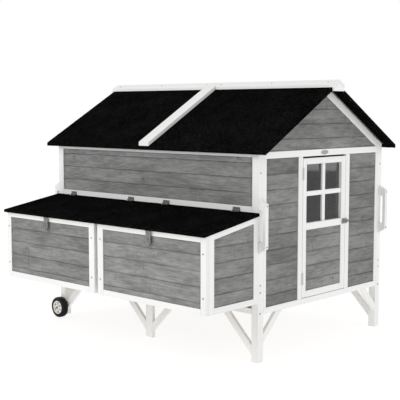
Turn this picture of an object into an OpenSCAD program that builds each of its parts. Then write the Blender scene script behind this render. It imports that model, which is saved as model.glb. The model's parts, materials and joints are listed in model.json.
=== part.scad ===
// Raised wooden hen house on legs and two wheels, with a felted gable roof,
// a glazed door in one end and two lidded nest boxes along its front.
// X runs along the house towards the door end, -Y is the nest box side, Z is up.

/* [House] */
// Length of the house over its corner posts
house_l = 1656; // [1500:1:1800]
// Width of the house over its corner posts
house_w = 1172; // [1100:1:1300]
// Height of the roof's underside above the ground, at the walls' outer faces
wall_h = 1127; // [1080:1:1250]
// Clear height under the floor frame
leg_h = 257; // [220:1:300]
// Side of a square corner post
post = 45; // [40:1:55]
// Thickness of rails, stiles, jambs and studs
frame_t = 22; // [20:1:26]
// Height of the bottom rails
rail_h = 32; // [28:1:40]
// Visible height of the gable top rails
gable_rail_h = 36; // [30:1:45]
// Distance from the gable top rail up to the roof's underside at the walls
gable_rail_drop = 13; // [8:1:20]
// Height of the wall plates along the two long sides
plate_h = 39; // [32:1:50]
// Width of the stiles beside the gable posts
end_stile_w = 20; // [16:1:30]
// Gap left between neighbouring pieces
fit = 0.3; // [0.2:0.1:0.5]

/* [Boarding] */
// Height of one wall board
board_pitch = 80; // [70:1:95]
// Thickness of a wall board
board_t = 12; // [9:1:14]
// Distance of the boards behind the frame's outer face
board_recess = 4; // [2:1:6]
// Chamfer along a board's outer edges
board_chamfer = 2.5; // [1.5:0.5:4]
// Gap between two boards
board_gap = 0.6; // [0.4:0.1:1]
// Thickness of the floor boards
floor_t = 12; // [9:1:15]
// Number of floor boards across the house
floor_board_n = 8; // [6:1:10]
// Height of the sill boards below the nest entries
nest_sill_h = 96; // [80:1:120]
// Visible height of the lowest board in the end walls, the back wall and the nest boxes' ends
end_first_h = 63; // [50:1:78]
// Visible height of the lowest board in the gables' triangles
gable_first_h = 62; // [50:1:78]
// Visible height of the lowest board above the lids
front_first_h = 69; // [50:1:78]
// Visible height of the lowest board in the nest boxes' fronts
nest_first_h = 29; // [24:1:78]
// Visible height of the lowest board in the door
door_first_h = 60; // [50:1:78]

/* [Legs and wheels] */
// Width of a middle leg
mid_leg_w = 57; // [45:1:65]
// Thickness of a middle leg
mid_leg_t = 21; // [18:1:25]
// Width of a leg brace
brace_w = 36; // [30:1:42]
// Thickness of a leg brace
brace_t = 20; // [16:1:22]
// Height of a side brace's lower edge at its leg
side_brace_z = 40; // [25:1:60]
// Height of an end brace's lower edge at its post
end_brace_z = 100; // [80:1:120]
// Diameter of a wheel
wheel_d = 130; // [110:1:160]
// Width of a wheel
wheel_w = 44; // [38:1:50]
// Diameter of a wheel's rim under the tyre
rim_d = 84; // [76:1:92]
// Thickness of a rim
rim_t = 5; // [4:0.5:7]
// Distance of a rim's edges inside the tyre's sides
rim_inset = 1; // [0.5:0.5:2]
// Radius of a tyre's shoulders
tyre_round = 8; // [5:0.5:11]
// Diameter of a wheel's hub
hub_d = 34; // [28:1:38]
// Number of spokes in a wheel
spoke_n = 6; // [4:1:8]
// Width of a spoke
spoke_w = 13; // [9:0.5:15]
// Thickness of a spoke
spoke_t = 32; // [24:1:34]
// Distance between a post and its wheel
wheel_gap = 6; // [4:1:12]
// Ground clearance of the posts above the wheels' lowest point
wheel_post_lift = 15; // [8:1:25]
// Diameter of a wheel's axle bolt
axle_d = 10; // [8:1:12]
// Radial running clearance of the wheels on their bolts
axle_clear = 0.05; // [0.03:0.01:0.1]
// End play of a wheel on its bolt
axle_play = 0.5; // [0.3:0.1:0.9]
// Wall of the spacer between a post and its wheel
axle_spacer_t = 4; // [3:0.5:6]
// Diameter of an axle bolt's head
axle_head_d = 18; // [16:1:24]
// Length of an axle bolt's head
axle_head_t = 8; // [6:1:10]
// Chamfer of an axle bolt's head
axle_head_chamfer = 3; // [1:0.5:4]
// Size of an axle bolt's nut over its corners
axle_nut_d = 19; // [17:1:22]
// Length of an axle bolt's nut
axle_nut_t = 8; // [6:1:10]

/* [Roof] */
// Pitch of the roof in degrees
roof_pitch = 30; // [26:1:33]
// Thickness of the roof's board
roof_board_t = 13; // [10:1:16]
// Thickness of the felt on the roof and the lids
felt_t = 3; // [2:0.5:4]
// Overhang of the roof past the long walls
eave_over = 36; // [25:1:50]
// Overhang of the roof past the end walls
gable_over = 75; // [55:1:90]
// Distance of the felt's turned-under edge from the long walls
eave_lap_gap = 4; // [2:1:10]
// Distance of the felt's turned-under edge from the end walls
gable_lap_gap = 15; // [5:1:30]
// Width of a ridge cap board
cap_w = 57; // [50:1:70]
// Thickness of a ridge cap board
cap_t = 14; // [10:1:18]
// Distance the ridge cap sticks out past the roof
cap_over = 15; // [10:1:20]
// Distance of a ridge cap's outer screws from its ends
cap_screw_inset = 60; // [40:1:90]
// Width of the blocks that close the ridge's ends
ridge_block_w = 96; // [80:1:104]
// Height of those blocks below the felt's apex
ridge_block_h = 48; // [40:1:60]
// Width of the battens over the roof's middle joints
batten_w = 81; // [60:1:90]
// Distance of their middle from those joints, towards the door
batten_x = -3; // [-20:1:20]
// Thickness of those battens
batten_t = 20; // [14:1:24]
// Distance from a batten's lower end to the eave
batten_short = 2; // [1:1:20]
// Width of a barge board along the top of an end wall
barge_w = 41; // [34:1:46]
// Thickness of a barge board
barge_t = 15; // [12:1:20]
// Distance of a barge board below the roof's underside
barge_drop = 2; // [1:0.5:5]
// Width of the ridge beam
ridge_beam_w = 45; // [38:1:52]
// Height of the ridge beam
ridge_beam_h = 70; // [60:1:85]
// Height of the middle rafters
rafter_h = 40; // [34:1:50]

/* [Door] */
// Width of the doorway
doorway_w = 412; // [380:1:450]
// Width of a door jamb
jamb_w = 38; // [32:1:45]
// Running gap around the door
door_gap = 3; // [2:0.5:4]
// Gap below the door
door_foot_gap = 3; // [3:1:8]
// Gap above the door
door_top_gap = 10; // [6:1:14]
// Width of the door's stile on the hinge side
door_hinge_stile_w = 32; // [28:1:45]
// Width of the door's stile on the bolt side
door_bolt_stile_w = 40; // [35:1:45]
// Height of the door's bottom rail
door_bottom_h = 36; // [30:1:45]
// Height of the door's top rail
door_top_h = 34; // [28:1:40]
// Height of the door's middle rail
door_mid_h = 38; // [32:1:45]
// Height of the boarded lower panel
door_panel_h = 342; // [300:1:380]
// Width of the bars between the window panes
muntin_w = 26; // [20:1:30]
// Thickness of those bars
muntin_t = 13; // [10:1:13]
// Distance of those bars behind the door's face
muntin_recess = 5; // [3:1:5]
// Thickness of the window pane
pane_t = 3; // [2:0.5:3.5]
// Distance of the upper hinge's middle from the door's top
door_hinge_top = 85; // [70:1:120]
// Distance of the lower hinge's middle from the door's bottom
door_hinge_foot = 108; // [70:1:130]
// Length of a door hinge
door_hinge_l = 66; // [50:1:80]
// Gap between a closed door hinge's two leaves
door_leaf_play = 0.4; // [0.3:0.1:0.6]

/* [Nest boxes] */
// Depth of a nest box in front of the wall
nest_d = 403; // [360:1:440]
// Height of a nest box's underside above the floor frame's underside
nest_lift = 61; // [50:1:75]
// Height of a nest box's front
nest_h = 398; // [370:1:420]
// Gap between the two nest boxes
nest_gap = 28; // [20:1:40]
// Width of the stiles between the nest boxes
nest_stile_w = 45; // [38:1:55]
// Width of the stiles at the nest boxes' outer corners
nest_out_stile_w = 36; // [32:1:50]
// Width of the rear stiles in the nest boxes' ends
nest_rear_stile_w = 35; // [30:1:50]
// Width of the front stiles in the nest boxes' ends
nest_end_stile_w = 62; // [50:1:75]
// Thickness of the nest floors and dividers
nest_floor_t = 10; // [8:1:12]
// Slope of the lids in degrees
lid_slope = 9.5; // [8:0.5:11]
// Thickness of a lid's board
lid_board_t = 13; // [10:1:16]
// Overhang of a lid past the box front
lid_front_over = 19; // [18:1:25]
// Overhang of a lid past the house's end
lid_side_over = 9; // [5:1:12]
// Gap between the two lids
lid_gap = 6; // [4:1:10]
// Gap between a lid's rear edge and the wall
lid_rear_gap = 2; // [1.5:0.5:4]
// Distance of a lid's inner hinge from its inner end
lid_hinge_in = 145; // [100:1:220]
// Distance of a lid's outer hinge from its outer end
lid_hinge_out = 160; // [100:1:220]
// Height of the hinge rail's top above the hinge pins
hinge_rail_rise = 25; // [22:1:32]
// Distance the hinge rail reaches below the lid
hinge_rail_margin = 3; // [2:0.5:6]

/* [Hardware] */
// Length of a lid hinge
hinge_l = 50; // [40:1:60]
// Width of a hinge leaf from its pin
leaf_w = 17; // [14:1:20]
// Thickness of a lid hinge's leaf
leaf_t = 2; // [1.5:0.5:2.5]
// Radius of a hinge knuckle
knuckle_r = 4.5; // [4:0.5:5.5]
// Radius of a hinge pin
pin_r = 2.2; // [1.8:0.1:2.4]
// Radial running clearance of a hinge on its pin
pin_clear = 0.05; // [0.03:0.01:0.1]
// Width of a hasp
hasp_w = 36; // [30:1:42]
// Length of a hasp below its pin
hasp_l = 80; // [72:1:90]
// Thickness of a hasp
hasp_t = 1.6; // [1.4:0.1:2]
// Radius of a hasp's knuckle
hasp_knuckle_r = 3; // [2.6:0.1:3.4]
// Radius of a hasp's pin
hasp_pin_r = 1.5; // [1.2:0.1:1.7]
// Distance of a hasp's pin behind the lid's front edge
hasp_back = 7; // [6:0.5:8]
// Distance of a hasp from its lid's middle, towards the house's end
hasp_off = 11; // [-20:1:30]
// Depth of a hasp's slot below its pin, at the slot's middle
hasp_slot_z = 48; // [44:1:52]
// Width of a hasp's slot
hasp_slot_w = 8; // [7:0.5:10]
// Height of a hasp's slot
hasp_slot_h = 22; // [20:1:26]
// Width of a hasp's tip
hasp_tip_w = 10; // [8:1:14]
// Angle a hasp swings in onto its staple
hasp_lock = 9; // [8:0.5:10]
// Width of the plate behind a turn button
staple_w = 30; // [24:1:36]
// Height of that plate
staple_h = 36; // [28:1:42]
// Thickness of that plate
staple_t = 1.5; // [1:0.5:2.5]
// Gap between a locked hasp and its turn button's head
button_gap = 1; // [0.6:0.1:1.5]
// Radial clearance of a turn button in its plate
stem_clear = 0.08; // [0.05:0.01:0.1]
// Radius of a turn button's stem
button_r = 2.5; // [2:0.1:3]
// Length of a turn button's head
button_l = 16; // [14:1:18]
// Width of a turn button's head
button_w = 5; // [4:0.5:6]
// Thickness of a turn button's head
button_t = 3; // [2:0.5:3.5]
// Radius of the door bolt's rod
bolt_r = 4; // [3.5:0.1:4.5]
// Travel of the door bolt
bolt_travel = 13; // [11:1:14]
// Radial clearance of the door bolt in its guides
bolt_clear = 0.08; // [0.05:0.01:0.1]
// Height of the door bolt above the doorway's sill
bolt_z = 401; // [395:1:410]
// Width of the door bolt's plate
bolt_plate_w = 28; // [28:1:32]
// Height of the door bolt's plate
bolt_plate_h = 31; // [28:1:36]
// Thickness of that plate
bolt_plate_t = 1.5; // [1:0.5:2.5]
// Distance of that plate from the door's edge
bolt_edge = 3; // [2:0.5:5]
// Gap between the bolt's rod and its plate
bolt_lift = 1; // [0.5:0.1:2]
// Thickness of each bolt guide
bolt_guide_t = 4; // [3:0.5:5]
// Metal around the bolt's hole in the guides and the keeper
guide_wall = 2.5; // [2:0.5:4]
// Distance of the drawn bolt's tip inside the door's edge
bolt_end_in = 1; // [0.5:0.5:2]
// Length of the bolt's tail behind its plate
bolt_tail = 8; // [5:1:12]
// Radius of the bolt's knob
bolt_knob_r = 3; // [2.5:0.1:3]
// Length of the bolt's knob
bolt_knob_l = 14; // [11:1:18]
// Width of the bolt's keeper
keeper_w = 14; // [12:1:20]
// Radius of a screw head
screw_r = 4.5; // [3.5:0.1:5.5]
// Height of a screw head
screw_h = 1.6; // [1.2:0.1:2]
// Radius of the flat on a screw head
screw_flat_r = 2.7; // [2:0.1:3.2]
// Distance of the post screws from a post's outer corner
post_screw_in = 17; // [12:1:25]
// Height of the lowest post screw above the floor frame's underside
foot_screw_z = 7; // [6:1:20]
// Height of the second post screw above the sill
low_screw_z = 87; // [70:1:100]
// Height of the third post screw above the sill
mid_screw_z = 125; // [110:1:150]
// Distance of the highest post screw below the gable rail
top_screw_drop = 72; // [50:1:100]
// Distance of the nest boxes' screws from the boxes' top and bottom
nest_screw_in = 88; // [60:1:110]
// Length of the blank oval plate on the door gable
oval_l = 70; // [56:1:80]
// Height of the blank oval plate
oval_h = 24; // [18:1:28]
// Thickness of the blank oval plate
oval_t = 1.5; // [1:0.5:2.5]
// Distance of the blank plate's middle from the gable's middle, towards the back
oval_off = -7; // [-20:1:20]

/* [Handles and perches] */
// Height of a handle's lower end above the ground
handle_z = 585; // [540:1:620]
// Length of a handle where it meets its post
handle_l = 289; // [270:1:310]
// Depth of a handle in front of its post
handle_d = 47; // [42:1:52]
// Thickness of a handle
handle_t = 26; // [22:1:30]
// Width of the grip bar
grip_w = 20; // [17:1:23]
// Distance the handle's outer face is shorter at each end
handle_slant = 27; // [20:1:32]
// Height of the solid ends beyond the finger slot
handle_end = 60; // [52:1:66]
// Radius of the finger slot's corners
slot_r = 12; // [8:1:13]
// Distance of a handle's screws from the ends of its outer face
handle_screw_in = 10; // [8:1:16]
// Height of the perches above the floor
perch_z = 545; // [520:1:600]
// Width of a perch
perch_w = 45; // [38:1:50]
// Thickness of a perch
perch_t = 30; // [25:1:35]
// Distance of the first perch from the house's middle
perch_x = 180; // [140:1:220]
// Distance between the perches
perch_pitch = 320; // [280:1:360]
// Chamfer along a perch's top edges
perch_chamfer = 6; // [4:1:9]
// Length of the cleats that carry the perches' ends
cleat_l = 90; // [70:1:110]
// Height of those cleats
cleat_h = 23; // [18:1:30]
// Depth of those cleats
cleat_d = 20; // [16:1:26]

/* [Hidden] */

white = "white";
grey = "gray";
black = "#1a1a1a";
steel = "silver";
ply = "burlywood";
$fn = 48;
past = 1;
board_least = 6 * board_chamfer;
oval_steps = 48;

hx = house_l / 2;
hy = house_w / 2;
sill_z = leg_h + rail_h;
door_end = 1;
wheel_end = -1;
ends = [door_end, wheel_end];
sides = [-1, 1];

// Roof planes
roof_t = roof_board_t + felt_t;
roof_v = roof_t / cos(roof_pitch);
felt_v = felt_t / cos(roof_pitch);
function roof_under(y) = wall_h + (hy - abs(y)) * tan(roof_pitch);
function roof_top(y) = roof_under(y) + roof_v;
eave_y = hy + eave_over;
roof_x = hx + gable_over;
cap_x = roof_x + cap_over;

// Gable top rails and wall plates
gable_rail_top = wall_h - gable_rail_drop;
gable_rail_z = gable_rail_top - gable_rail_h;
plate_z = wall_h - plate_h;

// Lids
nest_front_y = -(hy + nest_d);
nest_z = leg_h + nest_lift;
nest_top = nest_z + nest_h;
lid_v = (lid_board_t + felt_t) / cos(lid_slope);
lid_felt_v = felt_t / cos(lid_slope);
function lid_under(y) = nest_top + fit + (y - nest_front_y) * tan(lid_slope);
function lid_top(y) = lid_under(y) + lid_v;
lid_front_y = nest_front_y - lid_front_over;
lid_rear_y = -hy - lid_rear_gap;
lid_in_x = lid_gap / 2;
lid_out_x = hx + lid_side_over;
lid_mid_x = (lid_in_x + lid_out_x) / 2;

// Lid hinges: the pin lies in the corner between the wall and the lid's top
lid_pin_y = -hy - fit - knuckle_r;
lid_pin_z = lid_top(lid_pin_y) + (knuckle_r + fit) / cos(lid_slope);
lid_hinge_xs = [lid_in_x + lid_hinge_in, lid_out_x - lid_hinge_out];
hinge_rail_top = lid_pin_z + hinge_rail_rise;
hinge_rail_z = lid_under(-hy) - hinge_rail_margin;

// Hasps, staples and turn buttons
hasp_x = lid_mid_x + hasp_off;
hasp_pin_y = lid_front_y + hasp_back;
hasp_pin_z = lid_under(hasp_pin_y) - (hasp_knuckle_r + fit) / cos(lid_slope);
hasp_leaf_w = -(hasp_pin_y - nest_front_y) / cos(lid_slope) - 2 * fit;
staple_z = hasp_pin_z - hasp_slot_z;
staple_face_y = nest_front_y + board_recess - fit - staple_t;
hasp_locked_y = hasp_pin_y + hasp_slot_z * sin(hasp_lock) - hasp_t;
button_head_y = hasp_locked_y - button_gap;

// Wheels
wheel_r = wheel_d / 2;
axle_x = -(hx - post / 2);
wheel_in_y = hy + wheel_gap;
wheel_out_y = wheel_in_y + wheel_w;
axle_end_y = wheel_out_y + axle_play + axle_head_t;

// The model's origin is at the ground under the middle of its box
house_y = (-lid_front_y - axle_end_y) / 2;

// Doorway and door
door_half = doorway_w / 2 - door_gap;
door_z = sill_z + door_foot_gap;
door_top_z = gable_rail_z - door_top_gap;
door_panel_z = door_z + door_bottom_h;
door_mid_z = door_panel_z + door_panel_h;
window_z = door_mid_z + door_mid_h;
window_top_z = door_top_z - door_top_h;
window_x0 = door_hinge_stile_w - door_half;
window_x1 = door_half - door_bolt_stile_w;
window_x = (window_x0 + window_x1) / 2;
door_pin_x = hx + fit + knuckle_r;
door_pin_y = -doorway_w / 2 + door_gap / 2;
door_hinge_zs = [door_z + door_hinge_foot, door_top_z - door_hinge_top];
door_leaf_low = fit - door_gap / 2;
door_leaf_t = door_gap / 2 - fit - door_leaf_play / 2;

// Door bolt
bolt_zc = sill_z + bolt_z;
bolt_x = hx + fit + bolt_plate_t + bolt_lift + bolt_r;
bolt_plate_in = door_half - bolt_edge - bolt_plate_w;
bolt_end_y = door_half - bolt_end_in;

// Finger slot of a handle
slot_d = handle_d - grip_w;

// Perches and the walls' inner faces that their cleats sit on
perch_top_z = sill_z + perch_z;
perch_xs = [-perch_x, -perch_x - perch_pitch];
cleat_front_y = -(hy - frame_t - fit);
cleat_back_y = hy - board_recess - board_t - fit;

// Nest boxes' floors
nest_floor_top = nest_z + rail_h;

// Screw heights in the posts and the nest boxes' stiles
post_screw_zs = [leg_h + foot_screw_z, sill_z + low_screw_z, sill_z + mid_screw_z,
    gable_rail_z - top_screw_drop];
nest_screw_zs = [nest_z + nest_screw_in, nest_top - nest_screw_in];
handle_screw_zs = [handle_z + handle_slant + handle_screw_in,
    handle_z + handle_l - handle_slant - handle_screw_in];

// Rims
tyre_in_r = rim_d / 2;
rim_r = tyre_in_r - fit / 2;

// A prism along X from a section given as [y, z] points
module prism_x(points, x0, x1) {
    translate([x0, 0, 0])
        rotate([90, 0, 90])
            linear_extrude(x1 - x0)
                polygon(points);
}

// A prism along Y from a section given as [x, z] points
module prism_y(points, y0, y1) {
    translate([0, y1, 0])
        rotate([90, 0, 0])
            linear_extrude(y1 - y0)
                polygon(points);
}

// A box between two corners
module block(low, high) {
    translate(low)
        cube(high - low);
}

// Moves pieces from the house's own middle to the model's origin
module at_house() {
    translate([0, house_y, 0])
        children();
}

// Wall frames of reference: x along the wall, y inward from its outer face, z up
module front_wall() {
    translate([0, -hy, 0])
        children();
}

module back_wall() {
    rotate([0, 0, 180])
        translate([0, -hy, 0])
            children();
}

module gable_wall(end) {
    rotate([0, 0, 90 * end])
        translate([0, -hx, 0])
            children();
}

// One horizontal board, from x0 to x1 and z0 to z1, with chamfered outer edges
module board(x0, x1, z0, z1) {
    low = z0 + board_gap / 2;
    high = z1 - board_gap / 2;
    face = board_recess;
    inner = board_recess + board_t;
    prism_x([[face, low + board_chamfer], [face + board_chamfer, low], [inner, low],
        [inner, high], [face + board_chamfer, high], [face, high - board_chamfer]], x0, x1);
}

// Heights of the joints between boards that fill z0 to z1, with the lowest board's own height
function joints(z0, z1, first) = concat([z0],
    [for (z = [z0 + first : board_pitch : z1 - board_least]) z], [z1]);

// Boards from x0 to x1 that fill the height between z0 and z1
module boarding(x0, x1, z0, z1, first) {
    heights = joints(z0, z1, first);
    for (row = [0 : len(heights) - 2])
        board(x0 + fit, x1 - fit, heights[row], heights[row + 1]);
}

// A post with its top cut to the roof's slope; side is -1 at the front
module corner_post(end, side, foot) {
    outer = side * hy;
    inner = side * (hy - post);
    x0 = end > 0 ? hx - post : -hx;
    prism_x([[outer, foot], [inner, foot], [inner, roof_under(inner) - fit],
        [outer, roof_under(outer) - fit]], x0, x0 + post);
}

module posts_door_end() {
    color(white)
        at_house()
            for (side = sides)
                corner_post(door_end, side, 0);
}

module posts_wheel_end() {
    color(white)
        at_house()
            difference() {
                for (side = sides)
                    corner_post(wheel_end, side, wheel_post_lift);
                translate([axle_x, 0, wheel_r])
                    rotate([90, 0, 0])
                        cylinder(r = axle_d / 2 + fit, h = house_w + 2 * past, center = true);
            }
}

module middle_legs() {
    color(white)
        at_house()
            for (side = sides)
                block([-mid_leg_w / 2, min(side * hy, side * (hy - mid_leg_t)), 0],
                    [mid_leg_w / 2, max(side * hy, side * (hy - mid_leg_t)), leg_h - fit]);
}

// Outline of a 45 degree brace that leans on a leg at u = 0 and meets the rail above
function brace_outline(z) = [[fit, z], [fit, z + brace_w * sqrt(2)],
    [leg_h - z - brace_w * sqrt(2), leg_h - fit], [leg_h - z, leg_h - fit]];

module leg_braces() {
    color(white)
        at_house()
            for (end = ends, side = sides) {
                y0 = side > 0 ? hy - brace_t : -hy;
                translate([end * (hx - post), 0, 0])
                    mirror([end > 0 ? 1 : 0, 0, 0])
                        prism_y(brace_outline(side_brace_z), y0, y0 + brace_t);
                translate([end * mid_leg_w / 2, 0, 0])
                    mirror([end > 0 ? 0 : 1, 0, 0])
                        prism_y(brace_outline(side_brace_z), y0, y0 + brace_t);
                x0 = end > 0 ? hx - brace_t : -hx;
                translate([0, side * (hy - post), 0])
                    mirror([0, side > 0 ? 1 : 0, 0])
                        prism_x(brace_outline(end_brace_z), x0, x0 + brace_t);
            }
}

module floor_frame() {
    color(white)
        at_house() {
            for (side = sides) {
                y0 = side > 0 ? hy - frame_t : -hy;
                block([-hx + post + fit, y0, leg_h], [hx - post - fit, y0 + frame_t, sill_z]);
            }
            for (end = ends) {
                x0 = end > 0 ? hx - frame_t : -hx;
                block([x0, -hy + post + fit, leg_h], [x0 + frame_t, hy - post - fit, sill_z]);
            }
            for (place = [-1, 0, 1])
                block([place * house_l / 4 - frame_t / 2, -hy + frame_t + fit, leg_h],
                    [place * house_l / 4 + frame_t / 2, hy - frame_t - fit,
                        sill_z - floor_t - fit]);
        }
}

// Floor boards along the house, with a narrow one between the posts on each side
module floor_boards() {
    inner_y = hy - post - fit;
    edge_y = hy - frame_t - fit;
    row_w = 2 * inner_y / floor_board_n;
    color(ply)
        at_house() {
            for (row = [0 : floor_board_n - 1])
                block([-hx + frame_t + fit, -inner_y + row * row_w + fit, sill_z - floor_t],
                    [hx - frame_t - fit, -inner_y + (row + 1) * row_w - fit, sill_z]);
            for (y0 = [-edge_y, inner_y])
                block([-hx + post + fit, y0, sill_z - floor_t],
                    [hx - post - fit, y0 + edge_y - inner_y, sill_z]);
        }
}

// The wall plate under an eave, with its top cut to the roof's slope
module wall_plate() {
    prism_x([[0, plate_z], [frame_t, plate_z], [frame_t, roof_under(hy - frame_t) - fit],
        [0, roof_under(hy) - fit]], -hx + post + fit, hx - post - fit);
}

module front_wall_frame() {
    color(white)
        at_house()
            front_wall() {
                wall_plate();
                block([-hx + post + fit, 0, hinge_rail_z],
                    [hx - post - fit, frame_t, hinge_rail_top]);
                block([-nest_stile_w / 2, 0, sill_z + fit],
                    [nest_stile_w / 2, frame_t, hinge_rail_z - fit]);
            }
}

module front_wall_boards() {
    color(grey)
        at_house()
            front_wall() {
                boarding(-hx + post, hx - post, hinge_rail_top, plate_z, front_first_h);
                for (end = ends) {
                    x0 = end > 0 ? nest_stile_w / 2 : -hx + post;
                    x1 = end > 0 ? hx - post : -nest_stile_w / 2;
                    boarding(x0, x1, sill_z, sill_z + nest_sill_h, end_first_h);
                }
            }
}

module back_wall_frame() {
    color(white)
        at_house()
            back_wall() {
                wall_plate();
                block([-nest_stile_w / 2, 0, sill_z + fit],
                    [nest_stile_w / 2, frame_t, plate_z - fit]);
            }
}

module back_wall_boards() {
    color(grey)
        at_house()
            back_wall() {
                boarding(-hx + post, -nest_stile_w / 2, sill_z, plate_z, end_first_h);
                boarding(nest_stile_w / 2, hx - post, sill_z, plate_z, end_first_h);
            }
}

// Top rail and end stiles that both gables share
module gable_frame() {
    reach = hy - post - fit;
    block([-reach, 0, gable_rail_z], [reach, frame_t, gable_rail_top]);
    for (side = sides) {
        x0 = side > 0 ? reach - end_stile_w : -reach;
        block([x0, 0, sill_z + fit], [x0 + end_stile_w, frame_t, gable_rail_z - fit]);
    }
}

// Boards of a gable's triangle, cut to the slope of the barge boards
module gable_peak() {
    peak = roof_under(0) - (barge_drop + barge_w + fit) / cos(roof_pitch);
    half = (peak - gable_rail_top) / tan(roof_pitch);
    reach = min(half, hy - post);
    intersection() {
        boarding(-reach, reach, gable_rail_top, peak, gable_first_h);
        prism_y([[-half, gable_rail_top], [half, gable_rail_top], [0, peak]],
            0, board_recess + board_t + past);
    }
}

module door_gable_frame() {
    color(white)
        at_house()
            gable_wall(door_end) {
                gable_frame();
                for (side = sides) {
                    x0 = side > 0 ? doorway_w / 2 : -doorway_w / 2 - jamb_w;
                    block([x0, 0, sill_z + fit], [x0 + jamb_w, frame_t, gable_rail_z - fit]);
                }
            }
}

module door_gable_boards() {
    inner = doorway_w / 2 + jamb_w;
    outer = hy - post - fit - end_stile_w;
    color(grey)
        at_house()
            gable_wall(door_end) {
                boarding(-outer, -inner, sill_z, gable_rail_z, end_first_h);
                boarding(inner, outer, sill_z, gable_rail_z, end_first_h);
                gable_peak();
            }
}

module wheel_gable_frame() {
    color(white)
        at_house()
            gable_wall(wheel_end)
                gable_frame();
}

module wheel_gable_boards() {
    outer = hy - post - fit - end_stile_w;
    color(grey)
        at_house()
            gable_wall(wheel_end) {
                boarding(-outer, outer, sill_z, gable_rail_z, end_first_h);
                gable_peak();
            }
}

module ridge_beam() {
    half = ridge_beam_w / 2;
    reach = hx - max(board_recess + board_t, barge_t) - fit;
    drop = fit / cos(roof_pitch);
    color(white)
        at_house()
            prism_x([[-half, roof_under(0) - ridge_beam_h], [half, roof_under(0) - ridge_beam_h],
                [half, roof_under(half) - drop], [0, roof_under(0) - drop],
                [-half, roof_under(half) - drop]], -reach, reach);
}

// A pair of rafters under the joint between the roof's two halves
module rafters() {
    inner = ridge_beam_w / 2 + fit;
    outer = hy - frame_t - fit;
    drop = fit / cos(roof_pitch);
    color(white)
        at_house()
            for (side = sides)
                prism_x([[side * inner, roof_under(inner) - drop],
                    [side * outer, roof_under(outer) - drop],
                    [side * outer, roof_under(outer) - rafter_h],
                    [side * inner, roof_under(inner) - rafter_h]], -post / 2, post / 2);
}

// Sloping boards along the top of the gables, flush with the frame, standing on the top rails
module barge_boards() {
    high = barge_drop / cos(roof_pitch);
    low = high + barge_w / cos(roof_pitch);
    inner = fit;
    outer = hy - post - fit;
    color(white)
        at_house()
            for (end = ends, side = sides) {
                x0 = end > 0 ? hx - barge_t : -hx;
                intersection() {
                    prism_x([[side * inner, roof_under(inner) - high],
                        [side * outer, roof_under(outer) - high],
                        [side * outer, roof_under(outer) - low],
                        [side * inner, roof_under(inner) - low]], x0, x0 + barge_t);
                    block([x0 - past, -hy, gable_rail_top + fit],
                        [x0 + barge_t + past, hy, roof_under(0)]);
                }
            }
}

// Section of one roof slope, between two heights above its underside
function slope_section(side, y0, y1, low, high) = [
    [side * y0, roof_under(y0) + low], [side * y1, roof_under(y1) + low],
    [side * y1, roof_under(y1) + high], [side * y0, roof_under(y0) + high]];

// X range of one half of the roof
function half_x0(end) = end > 0 ? fit : -roof_x;
function half_x1(end) = end > 0 ? roof_x : -fit;

module roof_boards() {
    color(ply)
        at_house()
            for (end = ends, side = sides)
                prism_x(slope_section(side, fit, eave_y - felt_t - fit, 0,
                    roof_v - felt_v - fit), half_x0(end) + felt_t + fit,
                    half_x1(end) - felt_t - fit);
}

// Felt over each roof board, turned down over its edges and under its outer ones
module roof_felt() {
    lap_x = hx + gable_lap_gap;
    lap_y = hy + eave_lap_gap;
    color(black)
        at_house()
            for (end = ends, side = sides) {
                open_x0 = end > 0 ? -past : -lap_x;
                open_x1 = end > 0 ? lap_x : past;
                difference() {
                    prism_x(slope_section(side, fit, eave_y, -felt_v, roof_v),
                        half_x0(end), half_x1(end));
                    prism_x(slope_section(side, 0, eave_y - felt_t, -fit, roof_v - felt_v),
                        half_x0(end) + felt_t, half_x1(end) - felt_t);
                    prism_x(slope_section(side, 0, lap_y, -felt_v - past, 0), open_x0, open_x1);
                }
            }
}

module roof_battens() {
    inner = cap_w * cos(roof_pitch);
    outer = eave_y - batten_short;
    low = roof_v + fit;
    color(white)
        at_house()
            for (side = sides)
                prism_x(slope_section(side, inner, outer, low, low + batten_t / cos(roof_pitch)),
                    batten_x - batten_w / 2, batten_x + batten_w / 2);
}

module ridge_caps() {
    low = roof_v + fit;
    color(white)
        at_house()
            for (end = ends, side = sides) {
                x0 = end > 0 ? fit : -cap_x;
                prism_x(slope_section(side, fit / 2, cap_w * cos(roof_pitch) - fit, low,
                    low + cap_t / cos(roof_pitch)), x0, x0 + cap_x - fit);
            }
}

module ridge_blocks() {
    half = ridge_block_w / 2;
    foot = roof_top(0) - ridge_block_h;
    color(white)
        at_house()
            for (end = ends) {
                x0 = end > 0 ? roof_x + fit : -cap_x;
                prism_x([[-half, foot], [half, foot], [half, roof_top(half)], [0, roof_top(0)],
                    [-half, roof_top(half)]], x0, x0 + cap_over - fit);
            }
}

module perches() {
    low = perch_top_z - perch_t;
    half = perch_w / 2;
    shoulder = perch_top_z - perch_chamfer;
    color(ply)
        at_house()
            for (x = perch_xs)
                translate([x, 0, 0])
                    prism_y([[-half, low], [half, low], [half, shoulder],
                        [half - perch_chamfer, perch_top_z], [perch_chamfer - half, perch_top_z],
                        [-half, shoulder]], cleat_front_y + fit, cleat_back_y - fit);
}

// Blocks on the walls' inner faces that carry the perches' ends
module perch_cleats() {
    color(ply)
        at_house()
            for (x = perch_xs, y0 = [cleat_front_y, cleat_back_y - cleat_d]) {
                top = perch_top_z - perch_t - fit;
                block([x - cleat_l / 2, y0, top - cleat_h], [x + cleat_l / 2, y0 + cleat_d, top]);
            }
}

// X range of a nest box
function nest_x0(end) = end > 0 ? nest_gap / 2 : -hx;
function nest_x1(end) = end > 0 ? hx : -nest_gap / 2;

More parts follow.
